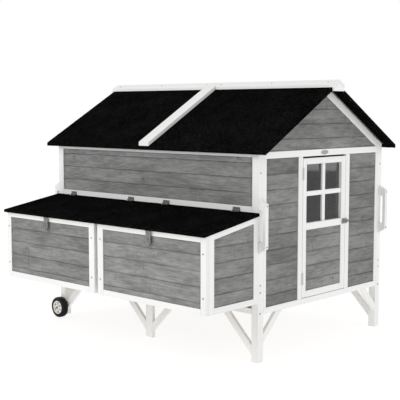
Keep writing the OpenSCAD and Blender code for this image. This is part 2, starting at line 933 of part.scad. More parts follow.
// X range of the boards in a nest box's front
function nest_board_x0(end) = nest_x0(end) + (end > 0 ? nest_stile_w : nest_out_stile_w);
function nest_board_x1(end) = nest_x1(end) - (end > 0 ? nest_out_stile_w : nest_stile_w);

// Front frame and the two end frames of a nest box
module nest_frame(end) {
    x0 = nest_x0(end);
    x1 = nest_x1(end);
    front = nest_front_y;
    rear = -hy - fit;
    board_x0 = nest_board_x0(end);
    board_x1 = nest_board_x1(end);
    block([x0, front, nest_z], [board_x0, front + frame_t, nest_top]);
    block([board_x1, front, nest_z], [x1, front + frame_t, nest_top]);
    for (z = [nest_z, nest_top - rail_h])
        block([board_x0 + fit, front, z], [board_x1 - fit, front + frame_t, z + rail_h]);
    for (x = [x0, x1 - frame_t]) {
        back_of_front = front + frame_t + fit;
        front_stile = front + nest_end_stile_w;
        rear_stile = rear - nest_rear_stile_w;
        prism_x([[back_of_front, nest_z], [front_stile, nest_z],
            [front_stile, lid_under(front_stile) - fit],
            [back_of_front, lid_under(back_of_front) - fit]], x, x + frame_t);
        prism_x([[rear_stile, nest_z], [rear, nest_z], [rear, lid_under(rear) - fit],
            [rear_stile, lid_under(rear_stile) - fit]], x, x + frame_t);
        block([x, front_stile + fit, nest_z], [x + frame_t, rear_stile - fit, nest_z + rail_h]);
        prism_x([[front_stile + fit, lid_under(front_stile) - rail_h],
            [rear_stile - fit, lid_under(rear_stile) - rail_h],
            [rear_stile - fit, lid_under(rear_stile) - fit],
            [front_stile + fit, lid_under(front_stile) - fit]], x, x + frame_t);
    }
}

// Boards in a nest box's front and ends
module nest_boards(end) {
    x0 = nest_x0(end);
    x1 = nest_x1(end);
    front_stile = nest_front_y + nest_end_stile_w;
    rear_stile = -hy - fit - nest_rear_stile_w;
    low = nest_z + rail_h;
    translate([0, nest_front_y, 0])
        boarding(nest_board_x0(end), nest_board_x1(end), low, nest_top - rail_h, nest_first_h);
    for (turn = [1, -1]) {
        face_x = turn > 0 ? x1 : x0;
        intersection() {
            translate([face_x, 0, 0])
                rotate([0, 0, 90 * turn])
                    boarding(turn > 0 ? front_stile : -rear_stile,
                        turn > 0 ? rear_stile : -front_stile, low, lid_under(rear_stile) - rail_h,
                        end_first_h);
            prism_x([[front_stile, low], [rear_stile, low],
                [rear_stile, lid_under(rear_stile) - rail_h - fit],
                [front_stile, lid_under(front_stile) - rail_h - fit]], x0, x1);
        }
    }
}

module nest_left_frame() {
    color(white)
        at_house()
            nest_frame(wheel_end);
}

module nest_left_boards() {
    color(grey)
        at_house()
            nest_boards(wheel_end);
}

module nest_right_frame() {
    color(white)
        at_house()
            nest_frame(door_end);
}

module nest_right_boards() {
    color(grey)
        at_house()
            nest_boards(door_end);
}

module nest_floors() {
    color(ply)
        at_house()
            for (end = ends)
                block([nest_x0(end) + frame_t + fit, nest_front_y + frame_t + fit,
                    nest_floor_top - nest_floor_t],
                    [nest_x1(end) - frame_t - fit, -hy - fit, nest_floor_top]);
}

// One upright board in the middle of each nest box
module nest_dividers() {
    front = nest_front_y + frame_t + fit;
    rear = -hy - fit;
    color(ply)
        at_house()
            for (end = ends) {
                x = (nest_x0(end) + nest_x1(end)) / 2;
                prism_x([[front, nest_floor_top + fit], [rear, nest_floor_top + fit],
                    [rear, lid_under(rear) - rail_h], [front, lid_under(front) - rail_h]],
                    x - nest_floor_t / 2, x + nest_floor_t / 2);
            }
}

// A grip bar on two solid ends, for a post's outer face
module handle() {
    slot_low = handle_z + handle_end;
    slot_high = handle_z + handle_l - handle_end;
    difference() {
        prism_y([[fit, handle_z], [handle_d, handle_z + handle_slant],
            [handle_d, handle_z + handle_l - handle_slant], [fit, handle_z + handle_l]],
            0, handle_t);
        block([-past, -past, slot_low], [slot_d - slot_r, handle_t + past, slot_high]);
        block([-past, -past, slot_low + slot_r], [slot_d, handle_t + past, slot_high - slot_r]);
        for (z = [slot_low + slot_r, slot_high - slot_r])
            translate([slot_d - slot_r, handle_t / 2, z])
                rotate([90, 0, 0])
                    cylinder(r = slot_r, h = handle_t + 2 * past, center = true);
    }
}

module handles(end) {
    for (side = sides)
        mirror([end > 0 ? 0 : 1, 0, 0])
            mirror([0, side > 0 ? 1 : 0, 0])
                translate([hx, -hy, 0])
                    handle();
}

module handles_door_end() {
    color(white)
        at_house()
            handles(door_end);
}

module handles_wheel_end() {
    color(white)
        at_house()
            handles(wheel_end);
}

// A hinge leaf with its pin along X and its plate's underside at z = low, reaching towards -y.
// The middle leaf has the one knuckle between the other leaf's two.
module leaf(l, r, w, low, t, bore, middle) {
    third = l / 3;
    spans = middle ? [[-third / 2 + fit, third / 2 - fit]]
        : [[-l / 2, -third / 2], [third / 2, l / 2]];
    difference() {
        union() {
            block([-l / 2, -w, low], [l / 2, -r - fit, low + t]);
            for (span = spans) {
                translate([span[0], 0, 0])
                    rotate([0, 90, 0])
                        cylinder(r = r, h = span[1] - span[0]);
                block([span[0], -r - 2 * fit, low], [span[1], 0, low + t]);
            }
        }
        rotate([0, 90, 0])
            cylinder(r = bore, h = l + 2 * past, center = true);
    }
}

module lid_leaf(middle) {
    leaf(hinge_l, knuckle_r, leaf_w, -knuckle_r, leaf_t, pin_r + pin_clear, middle);
}

module door_leaf(middle) {
    leaf(door_hinge_l, knuckle_r, leaf_w, door_leaf_low, door_leaf_t, pin_r + pin_clear, middle);
}

module hinge_pin(l) {
    rotate([0, 90, 0])
        cylinder(r = pin_r, h = l, center = true);
}

// Places for the lid hinges' pins
module at_lid_hinges(end) {
    for (x = lid_hinge_xs)
        translate([end * x, lid_pin_y, lid_pin_z])
            children();
}

// Places for the door hinges' upright pins, with their leaves reaching into the door's gap
module at_door_hinges() {
    for (z = door_hinge_zs)
        translate([door_pin_x, door_pin_y, z])
            rotate([-90, 0, 0])
                rotate([0, 0, -90])
                    children();
}

module fixed_hinge_leaves() {
    color(steel)
        at_house() {
            for (end = ends)
                at_lid_hinges(end)
                    rotate([90, 0, 0])
                        mirror([0, 1, 0])
                            lid_leaf(false);
            at_door_hinges()
                door_leaf(false);
        }
}

module hinge_pins() {
    color(steel)
        at_house() {
            for (end = ends)
                at_lid_hinges(end)
                    hinge_pin(hinge_l);
            at_door_hinges()
                hinge_pin(door_hinge_l);
        }
}

// Plates on the nest box fronts that carry the turn buttons
module staple_plates() {
    color(steel)
        at_house()
            for (end = ends)
                difference() {
                    block([end * hasp_x - staple_w / 2, staple_face_y, staple_z - staple_h / 2],
                        [end * hasp_x + staple_w / 2, staple_face_y + staple_t,
                            staple_z + staple_h / 2]);
                    translate([end * hasp_x, staple_face_y + staple_t / 2, staple_z])
                        rotate([90, 0, 0])
                            cylinder(r = button_r + stem_clear, h = staple_t + 2 * past,
                                center = true);
                }
}

// A turn button: its stem passes through the staple plate, its head stands upright
module turn_button(end) {
    translate([end * hasp_x, 0, staple_z]) {
        translate([0, button_head_y - button_t, 0])
            rotate([-90, 0, 0])
                cylinder(r = button_r, h = staple_face_y + staple_t - button_head_y + button_t);
        intersection() {
            block([-button_w / 2, button_head_y - button_t, -button_l / 2],
                [button_w / 2, button_head_y, button_l / 2]);
            translate([0, button_head_y, 0])
                rotate([90, 0, 0])
                    cylinder(d = button_l, h = button_t);
        }
    }
}

module turn_button_left() {
    color(steel)
        at_house()
            turn_button(wheel_end);
}

module turn_button_right() {
    color(steel)
        at_house()
            turn_button(door_end);
}

// The socket on the jamb that the door bolt slides into
module bolt_keeper() {
    y0 = doorway_w / 2 + door_gap;
    color(steel)
        at_house()
            difference() {
                union() {
                    block([hx + fit, y0, bolt_zc - bolt_plate_h / 2],
                        [hx + fit + bolt_plate_t, y0 + keeper_w, bolt_zc + bolt_plate_h / 2]);
                    block([hx + fit, y0, bolt_zc - bolt_r - guide_wall],
                        [bolt_x + bolt_r + guide_wall, y0 + keeper_w,
                            bolt_zc + bolt_r + guide_wall]);
                }
                translate([bolt_x, y0 + keeper_w / 2, bolt_zc])
                    rotate([90, 0, 0])
                        cylinder(r = bolt_r + fit, h = keeper_w + 2 * past, center = true);
            }
}

// Bolts that the wheels turn on, with their spacers and nuts
module wheel_axles() {
    spacer_r = axle_d / 2 + fit + axle_spacer_t;
    inner_y = hy - post - fit - axle_nut_t;
    color(steel)
        at_house()
            for (side = sides)
                mirror([0, side > 0 ? 0 : 1, 0])
                    translate([axle_x, 0, wheel_r])
                        rotate([-90, 0, 0]) {
                            translate([0, 0, inner_y - past])
                                cylinder(d = axle_d, h = wheel_out_y + axle_play - inner_y + past);
                            translate([0, 0, wheel_out_y + axle_play])
                                cylinder(d1 = axle_head_d, d2 = axle_head_d - 2 * axle_head_chamfer,
                                    h = axle_head_t);
                            difference() {
                                translate([0, 0, hy + fit])
                                    cylinder(r = spacer_r, h = wheel_gap - fit - axle_play);
                                cylinder(r = axle_d / 2 + fit, h = wheel_in_y);
                            }
                            difference() {
                                translate([0, 0, inner_y])
                                    cylinder(d = axle_nut_d, h = axle_nut_t, $fn = 6);
                                cylinder(r = axle_d / 2 + fit, h = hy);
                            }
                        }
}

// A screw head on a face whose outward normal is +X
module screw_head() {
    rotate([0, 90, 0])
        cylinder(r1 = screw_r, r2 = screw_flat_r, h = screw_h);
}

// Screws in the posts, the handles and the nest boxes' stiles
module frame_screws() {
    for (end = ends, side = sides)
        mirror([end > 0 ? 0 : 1, 0, 0]) {
            for (z = post_screw_zs)
                translate([hx + fit, side * (hy - post_screw_in), z])
                    screw_head();
            for (z = handle_screw_zs)
                translate([hx + handle_d + fit, side * (hy - handle_t / 2), z])
                    screw_head();
        }
    for (end = ends, z = nest_screw_zs)
        for (x = [nest_x0(end) + nest_board_x0(end), nest_x1(end) + nest_board_x1(end)] / 2)
            translate([x, nest_front_y - fit, z])
                rotate([0, 0, -90])
                    screw_head();
}

// Screws along the ridge caps
module cap_screws() {
    across = cap_w * cos(roof_pitch) / 2;
    span = cap_x - 2 * cap_screw_inset;
    lift = roof_v + cap_t / cos(roof_pitch) + 2 * fit;
    for (end = ends, side = sides, step = [0, 1, 2])
        translate([end * (cap_screw_inset + span * step / 2), side * across,
            roof_under(across) + lift])
            rotate([-side * roof_pitch, 0, 0])
                rotate([0, -90, 0])
                    screw_head();
}

module screws() {
    color(steel)
        at_house() {
            frame_screws();
            cap_screws();
        }
}

// A blank oval plate on the door gable's top rail
module blank_plate() {
    turn = 360 / oval_steps;
    color(steel)
        at_house()
            translate([hx + fit, oval_off, gable_rail_top - gable_rail_h / 2])
                rotate([90, 0, 90])
                    linear_extrude(oval_t)
                        polygon([for (step = [0 : oval_steps - 1])
                            [oval_l / 2 * cos(step * turn), oval_h / 2 * sin(step * turn)]]);
}

module door_frame() {
    color(white)
        at_house()
            gable_wall(door_end) {
                block([-door_half, 0, door_z], [window_x0, frame_t, door_top_z]);
                block([window_x1, 0, door_z], [door_half, frame_t, door_top_z]);
                for (z = [[door_z, door_panel_z], [door_mid_z, window_z], [window_top_z, door_top_z]])
                    block([window_x0 + fit, 0, z[0]], [window_x1 - fit, frame_t, z[1]]);
                back = muntin_recess + muntin_t;
                half = muntin_w / 2;
                middle = (window_z + window_top_z) / 2;
                block([window_x - half, muntin_recess, window_z + fit],
                    [window_x + half, back, window_top_z - fit]);
                for (x = [[window_x0, window_x - half], [window_x + half, window_x1]])
                    block([x[0] + fit, muntin_recess, middle - half], [x[1] - fit, back, middle + half]);
            }
}

module door_boards() {
    color(grey)
        at_house()
            gable_wall(door_end)
                boarding(window_x0, window_x1, door_panel_z, door_mid_z, door_first_h);
}

module door_pane() {
    front = muntin_recess + muntin_t + fit;
    color("dimgray")
        at_house()
            gable_wall(door_end)
                block([window_x0 + fit, front, window_z + fit],
                    [window_x1 - fit, front + pane_t, window_top_z - fit]);
}

module door_hinge_leaves() {
    color(steel)
        at_house()
            at_door_hinges()
                mirror([0, 0, 1])
                    door_leaf(true);
}

// Plate on the door's free stile with the two guides that hold the bolt
module bolt_guides() {
    color(steel)
        at_house()
            difference() {
                union() {
                    block([hx + fit, bolt_plate_in, bolt_zc - bolt_plate_h / 2],
                        [hx + fit + bolt_plate_t, bolt_plate_in + bolt_plate_w,
                            bolt_zc + bolt_plate_h / 2]);
                    for (y = [bolt_plate_in, bolt_plate_in + bolt_plate_w - bolt_guide_t])
                        block([hx + fit, y, bolt_zc - bolt_r - guide_wall],
                            [bolt_x + bolt_r + guide_wall, y + bolt_guide_t,
                                bolt_zc + bolt_r + guide_wall]);
                }
                translate([bolt_x, bolt_plate_in + bolt_plate_w / 2, bolt_zc])
                    rotate([90, 0, 0])
                        cylinder(r = bolt_r + bolt_clear, h = bolt_plate_w + 2 * past, center = true);
            }
}

// The drawn bolt: its knob rests against the inner guide
module door_bolt() {
    knob_y = bolt_plate_in + bolt_guide_t + bolt_knob_r + fit;
    color(steel)
        at_house() {
            translate([bolt_x, bolt_end_y, bolt_zc])
                rotate([90, 0, 0])
                    cylinder(r = bolt_r, h = bolt_end_y - bolt_plate_in + bolt_tail);
            translate([bolt_x, knob_y, bolt_zc])
                rotate([0, 90, 0])
                    cylinder(r = bolt_knob_r, h = bolt_knob_l);
        }
}

// Section of a lid, between two heights above its underside
function lid_section(y0, y1, low, high) = [[y0, lid_under(y0) + low], [y1, lid_under(y1) + low],
    [y1, lid_under(y1) + high], [y0, lid_under(y0) + high]];

function lid_x0(end) = end > 0 ? lid_in_x : -lid_out_x;
function lid_x1(end) = end > 0 ? lid_out_x : -lid_in_x;

module lid_board(end) {
    prism_x(lid_section(lid_front_y + felt_t + fit, lid_rear_y, 0, lid_v - lid_felt_v - fit),
        lid_x0(end) + felt_t + fit, lid_x1(end) - felt_t - fit);
}

// Felt over a lid's top, turned down over its front and ends
module lid_felt(end) {
    difference() {
        prism_x(lid_section(lid_front_y, lid_rear_y, 0, lid_v), lid_x0(end), lid_x1(end));
        prism_x(lid_section(lid_front_y + felt_t, lid_rear_y + past, -past, lid_v - lid_felt_v),
            lid_x0(end) + felt_t, lid_x1(end) - felt_t);
    }
}

// A lid's hinge leaves, and the hasp's own leaf and pin under its front edge
module lid_hardware(end) {
    at_lid_hinges(end)
        rotate([lid_slope, 0, 0])
            lid_leaf(true);
    translate([end * hasp_x, hasp_pin_y, hasp_pin_z]) {
        rotate([180 + lid_slope, 0, 0])
            leaf(hasp_w, hasp_knuckle_r, hasp_leaf_w, -hasp_knuckle_r, hasp_t,
                hasp_pin_r + pin_clear, false);
        rotate([0, 90, 0])
            cylinder(r = hasp_pin_r, h = hasp_w, center = true);
    }
}

module lid_left_board() {
    color(ply)
        at_house()
            lid_board(wheel_end);
}

module lid_left_felt() {
    color(black)
        at_house()
            lid_felt(wheel_end);
}

module lid_left_hardware() {
    color(steel)
        at_house()
            lid_hardware(wheel_end);
}

module lid_right_board() {
    color(ply)
        at_house()
            lid_board(door_end);
}

module lid_right_felt() {
    color(black)
        at_house()
            lid_felt(door_end);
}

module lid_right_hardware() {
    color(steel)
        at_house()
            lid_hardware(door_end);
}

// A hasp hanging from its pin, with a slot for the turn button
module hasp(end) {
    half = hasp_w / 2;
    third = hasp_w / 3;
    shoulder = hasp_slot_z + hasp_slot_h / 2;
    tip = hasp_tip_w / 2;
    translate([end * hasp_x, hasp_pin_y, hasp_pin_z])
        difference() {
            union() {
                rotate([0, 90, 0])
                    cylinder(r = hasp_knuckle_r, h = third - 2 * fit, center = true);
                block([-third / 2 + fit, -hasp_t / 2, -hasp_knuckle_r - 2 * fit],
                    [third / 2 - fit, hasp_t / 2, 0]);
                prism_y([[-half, -hasp_knuckle_r - fit], [half, -hasp_knuckle_r - fit],
                    [half, -shoulder], [tip, -hasp_l], [-tip, -hasp_l], [-half, -shoulder]],
                    -hasp_t / 2, hasp_t / 2);
            }
            rotate([0, 90, 0])
                cylinder(r = hasp_pin_r + pin_clear, h = hasp_w, center = true);
            block([-hasp_slot_w / 2, -hasp_t, -hasp_slot_z - hasp_slot_h / 2],
                [hasp_slot_w / 2, hasp_t, -hasp_slot_z + hasp_slot_h / 2]);
        }
}

module hasp_left() {
    color(steel)
        at_house()
            hasp(wheel_end);
}

module hasp_right() {
    color(steel)
        at_house()
            hasp(door_end);
}

// Half section of a tyre as [radius, along] points, with rounded shoulders
function tyre_section() = concat(
    [[tyre_in_r, -wheel_w / 2]],
    [for (turn = [-90 : 15 : 0]) [wheel_r - tyre_round + tyre_round * cos(turn),
        -wheel_w / 2 + tyre_round + tyre_round * sin(turn)]],
    [for (turn = [0 : 15 : 90]) [wheel_r - tyre_round + tyre_round * cos(turn),
        wheel_w / 2 - tyre_round + tyre_round * sin(turn)]],
    [[tyre_in_r, wheel_w / 2]]);

// Place of a wheel's middle, with its axis along Z
module at_wheel(side) {
    translate([axle_x, side * (wheel_in_y + wheel_w / 2), wheel_r])
        rotate([90, 0, 0])
            children();
}

module tyre(side) {
    color(black)
        at_house()
            at_wheel(side)
                rotate_extrude()
                    polygon(tyre_section());
}

// A rim with its spokes and its bored hub
module rim(side) {
    rim_w = wheel_w - 2 * rim_inset;
    color("whitesmoke")
        at_house()
            at_wheel(side)
                difference() {
                    union() {
                        difference() {
                            cylinder(r = rim_r, h = rim_w, center = true);
                            cylinder(r = rim_r - rim_t, h = rim_w + 2 * past, center = true);
                        }
                        cylinder(d = hub_d, h = wheel_w, center = true);
                        for (step = [0 : spoke_n - 1])
                            rotate([0, 0, step * 360 / spoke_n])
                                block([hub_d / 2 - past, -spoke_w / 2, -spoke_t / 2],
                                    [rim_r - rim_t + past, spoke_w / 2, spoke_t / 2]);
                    }
                    cylinder(r = axle_d / 2 + axle_clear, h = wheel_w + 2 * past, center = true);
                }
}

module tyre_front() {
    tyre(-1);
}

module rim_front() {
    rim(-1);
}

module tyre_back() {
    tyre(1);
}

module rim_back() {
    rim(1);
}

posts_door_end();
posts_wheel_end();
middle_legs();
leg_braces();
floor_frame();
floor_boards();
front_wall_frame();
front_wall_boards();
back_wall_frame();
back_wall_boards();
door_gable_frame();
door_gable_boards();
wheel_gable_frame();
wheel_gable_boards();
ridge_beam();
rafters();
barge_boards();
roof_boards();
roof_felt();
roof_battens();
ridge_caps();
ridge_blocks();
perches();
perch_cleats();
nest_left_frame();
nest_left_boards();
nest_right_frame();
nest_right_boards();
nest_floors();
nest_dividers();
handles_door_end();
handles_wheel_end();
fixed_hinge_leaves();
hinge_pins();
staple_plates();
bolt_keeper();
wheel_axles();
screws();
blank_plate();
door_frame();
door_boards();
door_pane();
door_hinge_leaves();
bolt_guides();
door_bolt();
lid_left_board();
lid_left_felt();
lid_left_hardware();
lid_right_board();
lid_right_felt();
lid_right_hardware();
hasp_left();
hasp_right();
turn_button_left();
turn_button_right();
tyre_front();
rim_front();
tyre_back();
rim_back();
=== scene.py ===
"""Finish of a raised hen house: painted timber, stained boards, felt, steel and wheels."""

import json
import math
import random

import bmesh
import bpy
from mathutils import Matrix, Vector, noise
from mathutils.bvhtree import BVHTree


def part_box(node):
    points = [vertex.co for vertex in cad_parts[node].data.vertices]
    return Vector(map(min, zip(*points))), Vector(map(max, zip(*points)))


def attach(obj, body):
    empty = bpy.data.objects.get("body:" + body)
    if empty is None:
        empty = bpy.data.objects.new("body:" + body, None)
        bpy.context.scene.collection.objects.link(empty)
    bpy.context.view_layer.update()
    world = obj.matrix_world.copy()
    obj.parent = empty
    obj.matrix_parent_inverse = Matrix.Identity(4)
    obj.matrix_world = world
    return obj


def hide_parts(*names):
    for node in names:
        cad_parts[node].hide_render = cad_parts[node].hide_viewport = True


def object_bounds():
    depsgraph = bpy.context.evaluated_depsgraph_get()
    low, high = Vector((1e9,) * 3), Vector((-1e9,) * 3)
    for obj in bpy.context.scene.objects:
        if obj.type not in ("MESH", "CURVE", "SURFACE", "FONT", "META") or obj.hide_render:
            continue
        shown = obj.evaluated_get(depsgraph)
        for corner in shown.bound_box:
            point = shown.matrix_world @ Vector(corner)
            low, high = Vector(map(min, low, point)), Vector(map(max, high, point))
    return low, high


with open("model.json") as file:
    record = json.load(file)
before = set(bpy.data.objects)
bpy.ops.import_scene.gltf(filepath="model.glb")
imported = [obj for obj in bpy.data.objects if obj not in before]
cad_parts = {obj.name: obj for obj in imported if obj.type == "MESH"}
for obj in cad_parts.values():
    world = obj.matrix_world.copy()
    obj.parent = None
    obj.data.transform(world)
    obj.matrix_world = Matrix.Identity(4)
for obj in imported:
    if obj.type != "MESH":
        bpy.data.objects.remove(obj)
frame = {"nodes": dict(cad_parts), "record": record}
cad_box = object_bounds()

bl_info = {
    "name": "Hen house finish",
    "version": (1, 0, 0),
    "blender": (4, 5, 0),
    "location": "3D View > Sidebar > Hen house",
    "description": "Dresses the packed hen house in paint, stain, felt and steel",
    "category": "Object",
}

BODY_OF = {node: body for body, nodes in frame["record"]["behaviour"]["bodies"].items()
           for node in nodes}

PAINTED = ["posts_door_end", "posts_wheel_end", "middle_legs", "leg_braces", "floor_frame",
           "front_wall_frame", "back_wall_frame", "door_gable_frame", "wheel_gable_frame",
           "ridge_beam", "rafters", "barge_boards", "roof_battens", "ridge_caps",
           "ridge_blocks", "nest_left_frame", "nest_right_frame", "door_frame"]
GRIPS = ["handles_door_end", "handles_wheel_end"]
# Middle tone of each wall's boards, and how much painted shade darkens the boards that face the
# ends
STAINED = {"front_wall_boards": (0.62, 0), "back_wall_boards": (0.36, 0),
           "door_gable_boards": (0.32, 0), "wheel_gable_boards": (0.36, 0),
           "nest_left_boards": (0.57, 0.28), "nest_right_boards": (0.76, 0.34),
           "door_boards": (0.56, 0)}
BARE = ["floor_boards", "perches", "perch_cleats", "nest_floors", "nest_dividers",
        "lid_left_board", "lid_right_board"]
FELTED = ["roof_felt", "lid_left_felt", "lid_right_felt"]
HINGES = ["fixed_hinge_leaves", "hinge_pins", "door_hinge_leaves", "lid_left_hardware",
          "lid_right_hardware"]
STEEL = HINGES + ["staple_plates", "bolt_keeper", "wheel_axles", "bolt_guides", "door_bolt",
                  "hasp_left", "hasp_right", "turn_button_left", "turn_button_right"]
RIMS = ["rim_front", "rim_back"]
TYRES = ["tyre_front", "tyre_back"]

# Points this close are one, and these angles tell flat, sharp and smooth edges apart
WELD = 0.00001
FLAT_ANGLE = math.radians(1)
SHARP_ANGLE = math.radians(25)
SMOOTH_ANGLE = math.radians(50)
EASE_STEPS = 2

# Digits to which edges and faces are compared, and how far a board's side may lean to its length
LENGTH_DIGITS = 6
AREA_DIGITS = 9
SIDE_LEAN = 0.2

# Where a board lay in its log: along it, beside its heart and over its heart
LOG_LENGTH = 40
HEART_BESIDE = 0.16
HEART_OVER = (0.02, 0.12)
TONE_SPREAD = 0.25

# Knots: how many in a metre along and across, their edge, their halo and the bend of the grain
KNOTS_IN_METRE = (2.6, 4.8, 0)
KNOT_CHOICE_BLUR = 0.04
KNOT_EDGE = (0.012, 0.03)
KNOT_HALO = (0.02, 0.12)
GRAIN_BEND = 0.01

# Most of soft noise lies between these two values
NOISE_LOW = 0.3
NOISE_HIGH = 0.7
CLOUD_ROUGHNESS = 0.55
LINE_ROUGHNESS = 0.62
# Share of a board's half length at which its end begins
BOARD_END = 0.985

# Rings of a screw head and of the oval plate, as shares of the half size and of the rise
HEAD_PROFILE = [(1, 0), (0.97, 0.45), (0.88, 0.8), (0.74, 1)]
HEAD_SIDES = 20
PLATE_PROFILE = [(1, 0), (1, 0.6), (0.97, 0.95), (0.93, 1), (0.87, 1), (0.84, 0.7), (0.5, 0.82)]
PLATE_SIDES = 64
# Cross slot of a screw head, as shares of its radius and rise
SLOT_REACH = 0.62
SLOT_HALF = 0.15
SLOT_TAPER = 0.8
SLOT_DEPTH = 0.7

# Screws in the steel plates: how far out the search for a plate starts, and their places on it
PLATE_REACH = 0.01
LEAF_LEAST = 0.045
LEAF_SCREW_INSET = 0.006
LEAF_SCREW_FROM_MIDDLE = 0.016
BOLT_SCREW_INSET = 0.0042
STAPLE_SCREW_INSET = 0.005

# Felt: steps round a fold, and the shallow hollows in a metre with the layer of noise they use
FOLD_STEPS = 4
HOLLOWS_IN_METRE = 5
HOLLOW_LAYER = 0.3

# Stage: the floor's sides and its gap below the feet, and the picture's width in millimetres
WHITE = (1, 1, 1, 1)
FLOOR_SIDES = 96
FLOOR_GAP = 0.0005
PICTURE_WIDTH = 36


def length(name, description, default):
    """A property that holds a length in metres."""
    return bpy.props.FloatProperty(name=name, description=description, default=default,
                                   min=0, precision=5, unit="LENGTH", subtype="DISTANCE")


def colour(name, description, default):
    """A property that holds a linear colour."""
    return bpy.props.FloatVectorProperty(name=name, description=description, default=default,
                                         size=3, min=0, max=1, subtype="COLOR")


def stand(name, description, default):
    """A property that holds a place in metres."""
    return bpy.props.FloatVectorProperty(name=name, description=description, default=default,
                                         size=3, unit="LENGTH", subtype="TRANSLATION")


def angle(name, description, degrees):
    """A property that holds an angle."""
    return bpy.props.FloatProperty(name=name, description=description,
                                   default=math.radians(degrees), unit="ROTATION",
                                   subtype="ANGLE")


def light(name, description, default):
    """A property that holds a lamp's watts or the strength of a lit surface."""
    return bpy.props.FloatProperty(name=name, description=description, default=default, min=0)


class HenHouseSizes(bpy.types.PropertyGroup):
    """Sizes of the finish that a user may change."""

    timber_ease: length("Timber easing", "Radius of the eased edges of painted timber", 0.0014)
    grip_ease: length("Grip easing", "Radius of the rounded edges of the hand grips", 0.003)
    board_ease: length("Board easing", "Radius of the eased edges of thin boards", 0.0006)
    steel_ease: length("Steel easing", "Radius of the eased edges of steel pieces", 0.0003)
    rim_ease: length("Rim easing", "Radius of the moulded edges of the rims", 0.0008)
    felt_fold: length("Felt fold", "Radius of the felt where it turns over an edge", 0.0035)
    gable_lap: length("Gable lap", "Felt turned under the roof at the gables", 0.06)
    eave_lap: length("Eave lap", "Felt turned under the roof at the eaves", 0.032)
    felt_thickness: length("Felt thickness", "Thickness of the felt", 0.0022)
    felt_sag: length("Felt sag", "Depth of the shallow hollows in the felt", 0.0007)
    felt_step: length("Felt step", "Spacing of the points that shape the felt", 0.03)
    screw_radius: length("Hinge screw radius", "Radius of the small screws in the plates", 0.0026)
    screw_rise: length("Hinge screw rise", "Height of the small screws above their plates", 0.0006)
    tread_depth: length("Tread depth", "Depth of the grooves in the tyres", 0.0022)


class HenHouseColours(bpy.types.PropertyGroup):
    """Colours of the finish that a user may change."""

    paint: colour("White paint", "Paint on posts, frames and trim", (0.81, 0.81, 0.80))
    bleed: colour("Knot bleed", "Resin that shows through the paint at a knot", (0.60, 0.55, 0.47))
    stain: colour("Grey stain", "Stain on the wall boards", (0.200, 0.200, 0.197))
    pine: colour("Bare pine", "Untreated timber inside", (0.50, 0.44, 0.355))
    roof_ply: colour("Roof board", "Grey stained board under the felt", (0.20, 0.20, 0.195))
    felt: colour("Felt", "Mineral felt on roof and lids", (0.0028, 0.0028, 0.0028))
    zinc: colour("Zinc", "Galvanised hinges, hasps, bolts and screws", (0.50, 0.495, 0.48))
    plate: colour("Plate", "Blank oval plate on the gable", (0.50, 0.50, 0.48))
    pane: colour("Pane", "Clear sheet in the door", (0.56, 0.57, 0.57))
    rubber: colour("Rubber", "Tyres", (0.008, 0.008, 0.008))
    rim: colour("Rim", "Moulded wheel rims", (0.80, 0.79, 0.75))
    floor: colour("Floor", "Pale studio floor", (0.25, 0.25, 0.25))


class HenHouseStage(bpy.types.PropertyGroup):
    """Camera, floor and light that a user may change."""

    camera_place: stand("Camera place", "Where the camera stands", (3.847, -4.06375, 1.337))
    camera_azimuth: angle("Camera azimuth", "Turn of the view from straight along +Y", 43.2)
    camera_drop: angle("Camera drop", "Angle of the view below the horizon", 5.66)
    camera_lens: bpy.props.FloatProperty(
        name="Camera lens", description="Focal length on a 36 mm wide picture",
        default=82.54, unit="CAMERA")
    floor_radius: length("Floor radius", "Radius of the round studio floor", 15.6)
    lamp_size: length("Lamp size", "Side of the two large square lamps", 4.0)
    key_place: stand("Key place", "Where the lamp at the nest box side hangs", (-1.5, -6.0, 4.2))
    fill_place: stand("Fill place", "Where the lamp at the door side hangs", (6.5, 1.5, 3.6))
    key: light("Key lamp", "Power of the lamp at the nest box side in watts", 134)
    fill: light("Fill lamp", "Power of the lamp at the door side in watts", 66)
    sky: light("Sky", "Strength of the even light from all around", 0.78)
    table_seen: light("Table seen", "Lift of the lit floor towards white in the picture", 0.82)
    table_light: light("Table light", "Light that the lit floor sends up to the object", 0.97)
    table_mirrored: light("Table mirrored", "Light of the lit floor in steel and in the pane", 0.15)


def opaque(rgb):
    """A colour with full cover, from three parts."""
    return (rgb[0], rgb[1], rgb[2], 1)


def dimmed(rgb, factor):
    """A colour made darker or lighter."""
    return opaque([min(1, part * factor) for part in rgb])


class NodeTree:
    """A tree of shader nodes, with short calls that add a node and join its sockets."""

    def __init__(self, tree):
        self.tree = tree

    def join(self, socket, value):
        """Links an output to a socket, or sets the socket to a constant."""
        if isinstance(value, bpy.types.NodeSocket):
            self.tree.links.new(value, socket)
        else:
            socket.default_value = value

    def add(self, kind, inputs, **settings):
        """A new node with its settings and inputs."""
        node = self.tree.nodes.new("ShaderNode" + kind)
        for name, value in settings.items():
            setattr(node, name, value)
        for name, value in inputs.items():
            self.join(node.inputs[name], value)
        return node

    def reckon(self, operation, *values):
        """The result of a sum, a product or the like."""
        return self.add("Math", dict(enumerate(values)), operation=operation).outputs[0]

    def by_path(self, path, other, taken):
        """One strength where light takes a path to the eye, and another where it doesn't."""
        inputs = {"Value": path, "To Min": other, "To Max": taken}
        return self.add("MapRange", inputs).outputs["Result"]


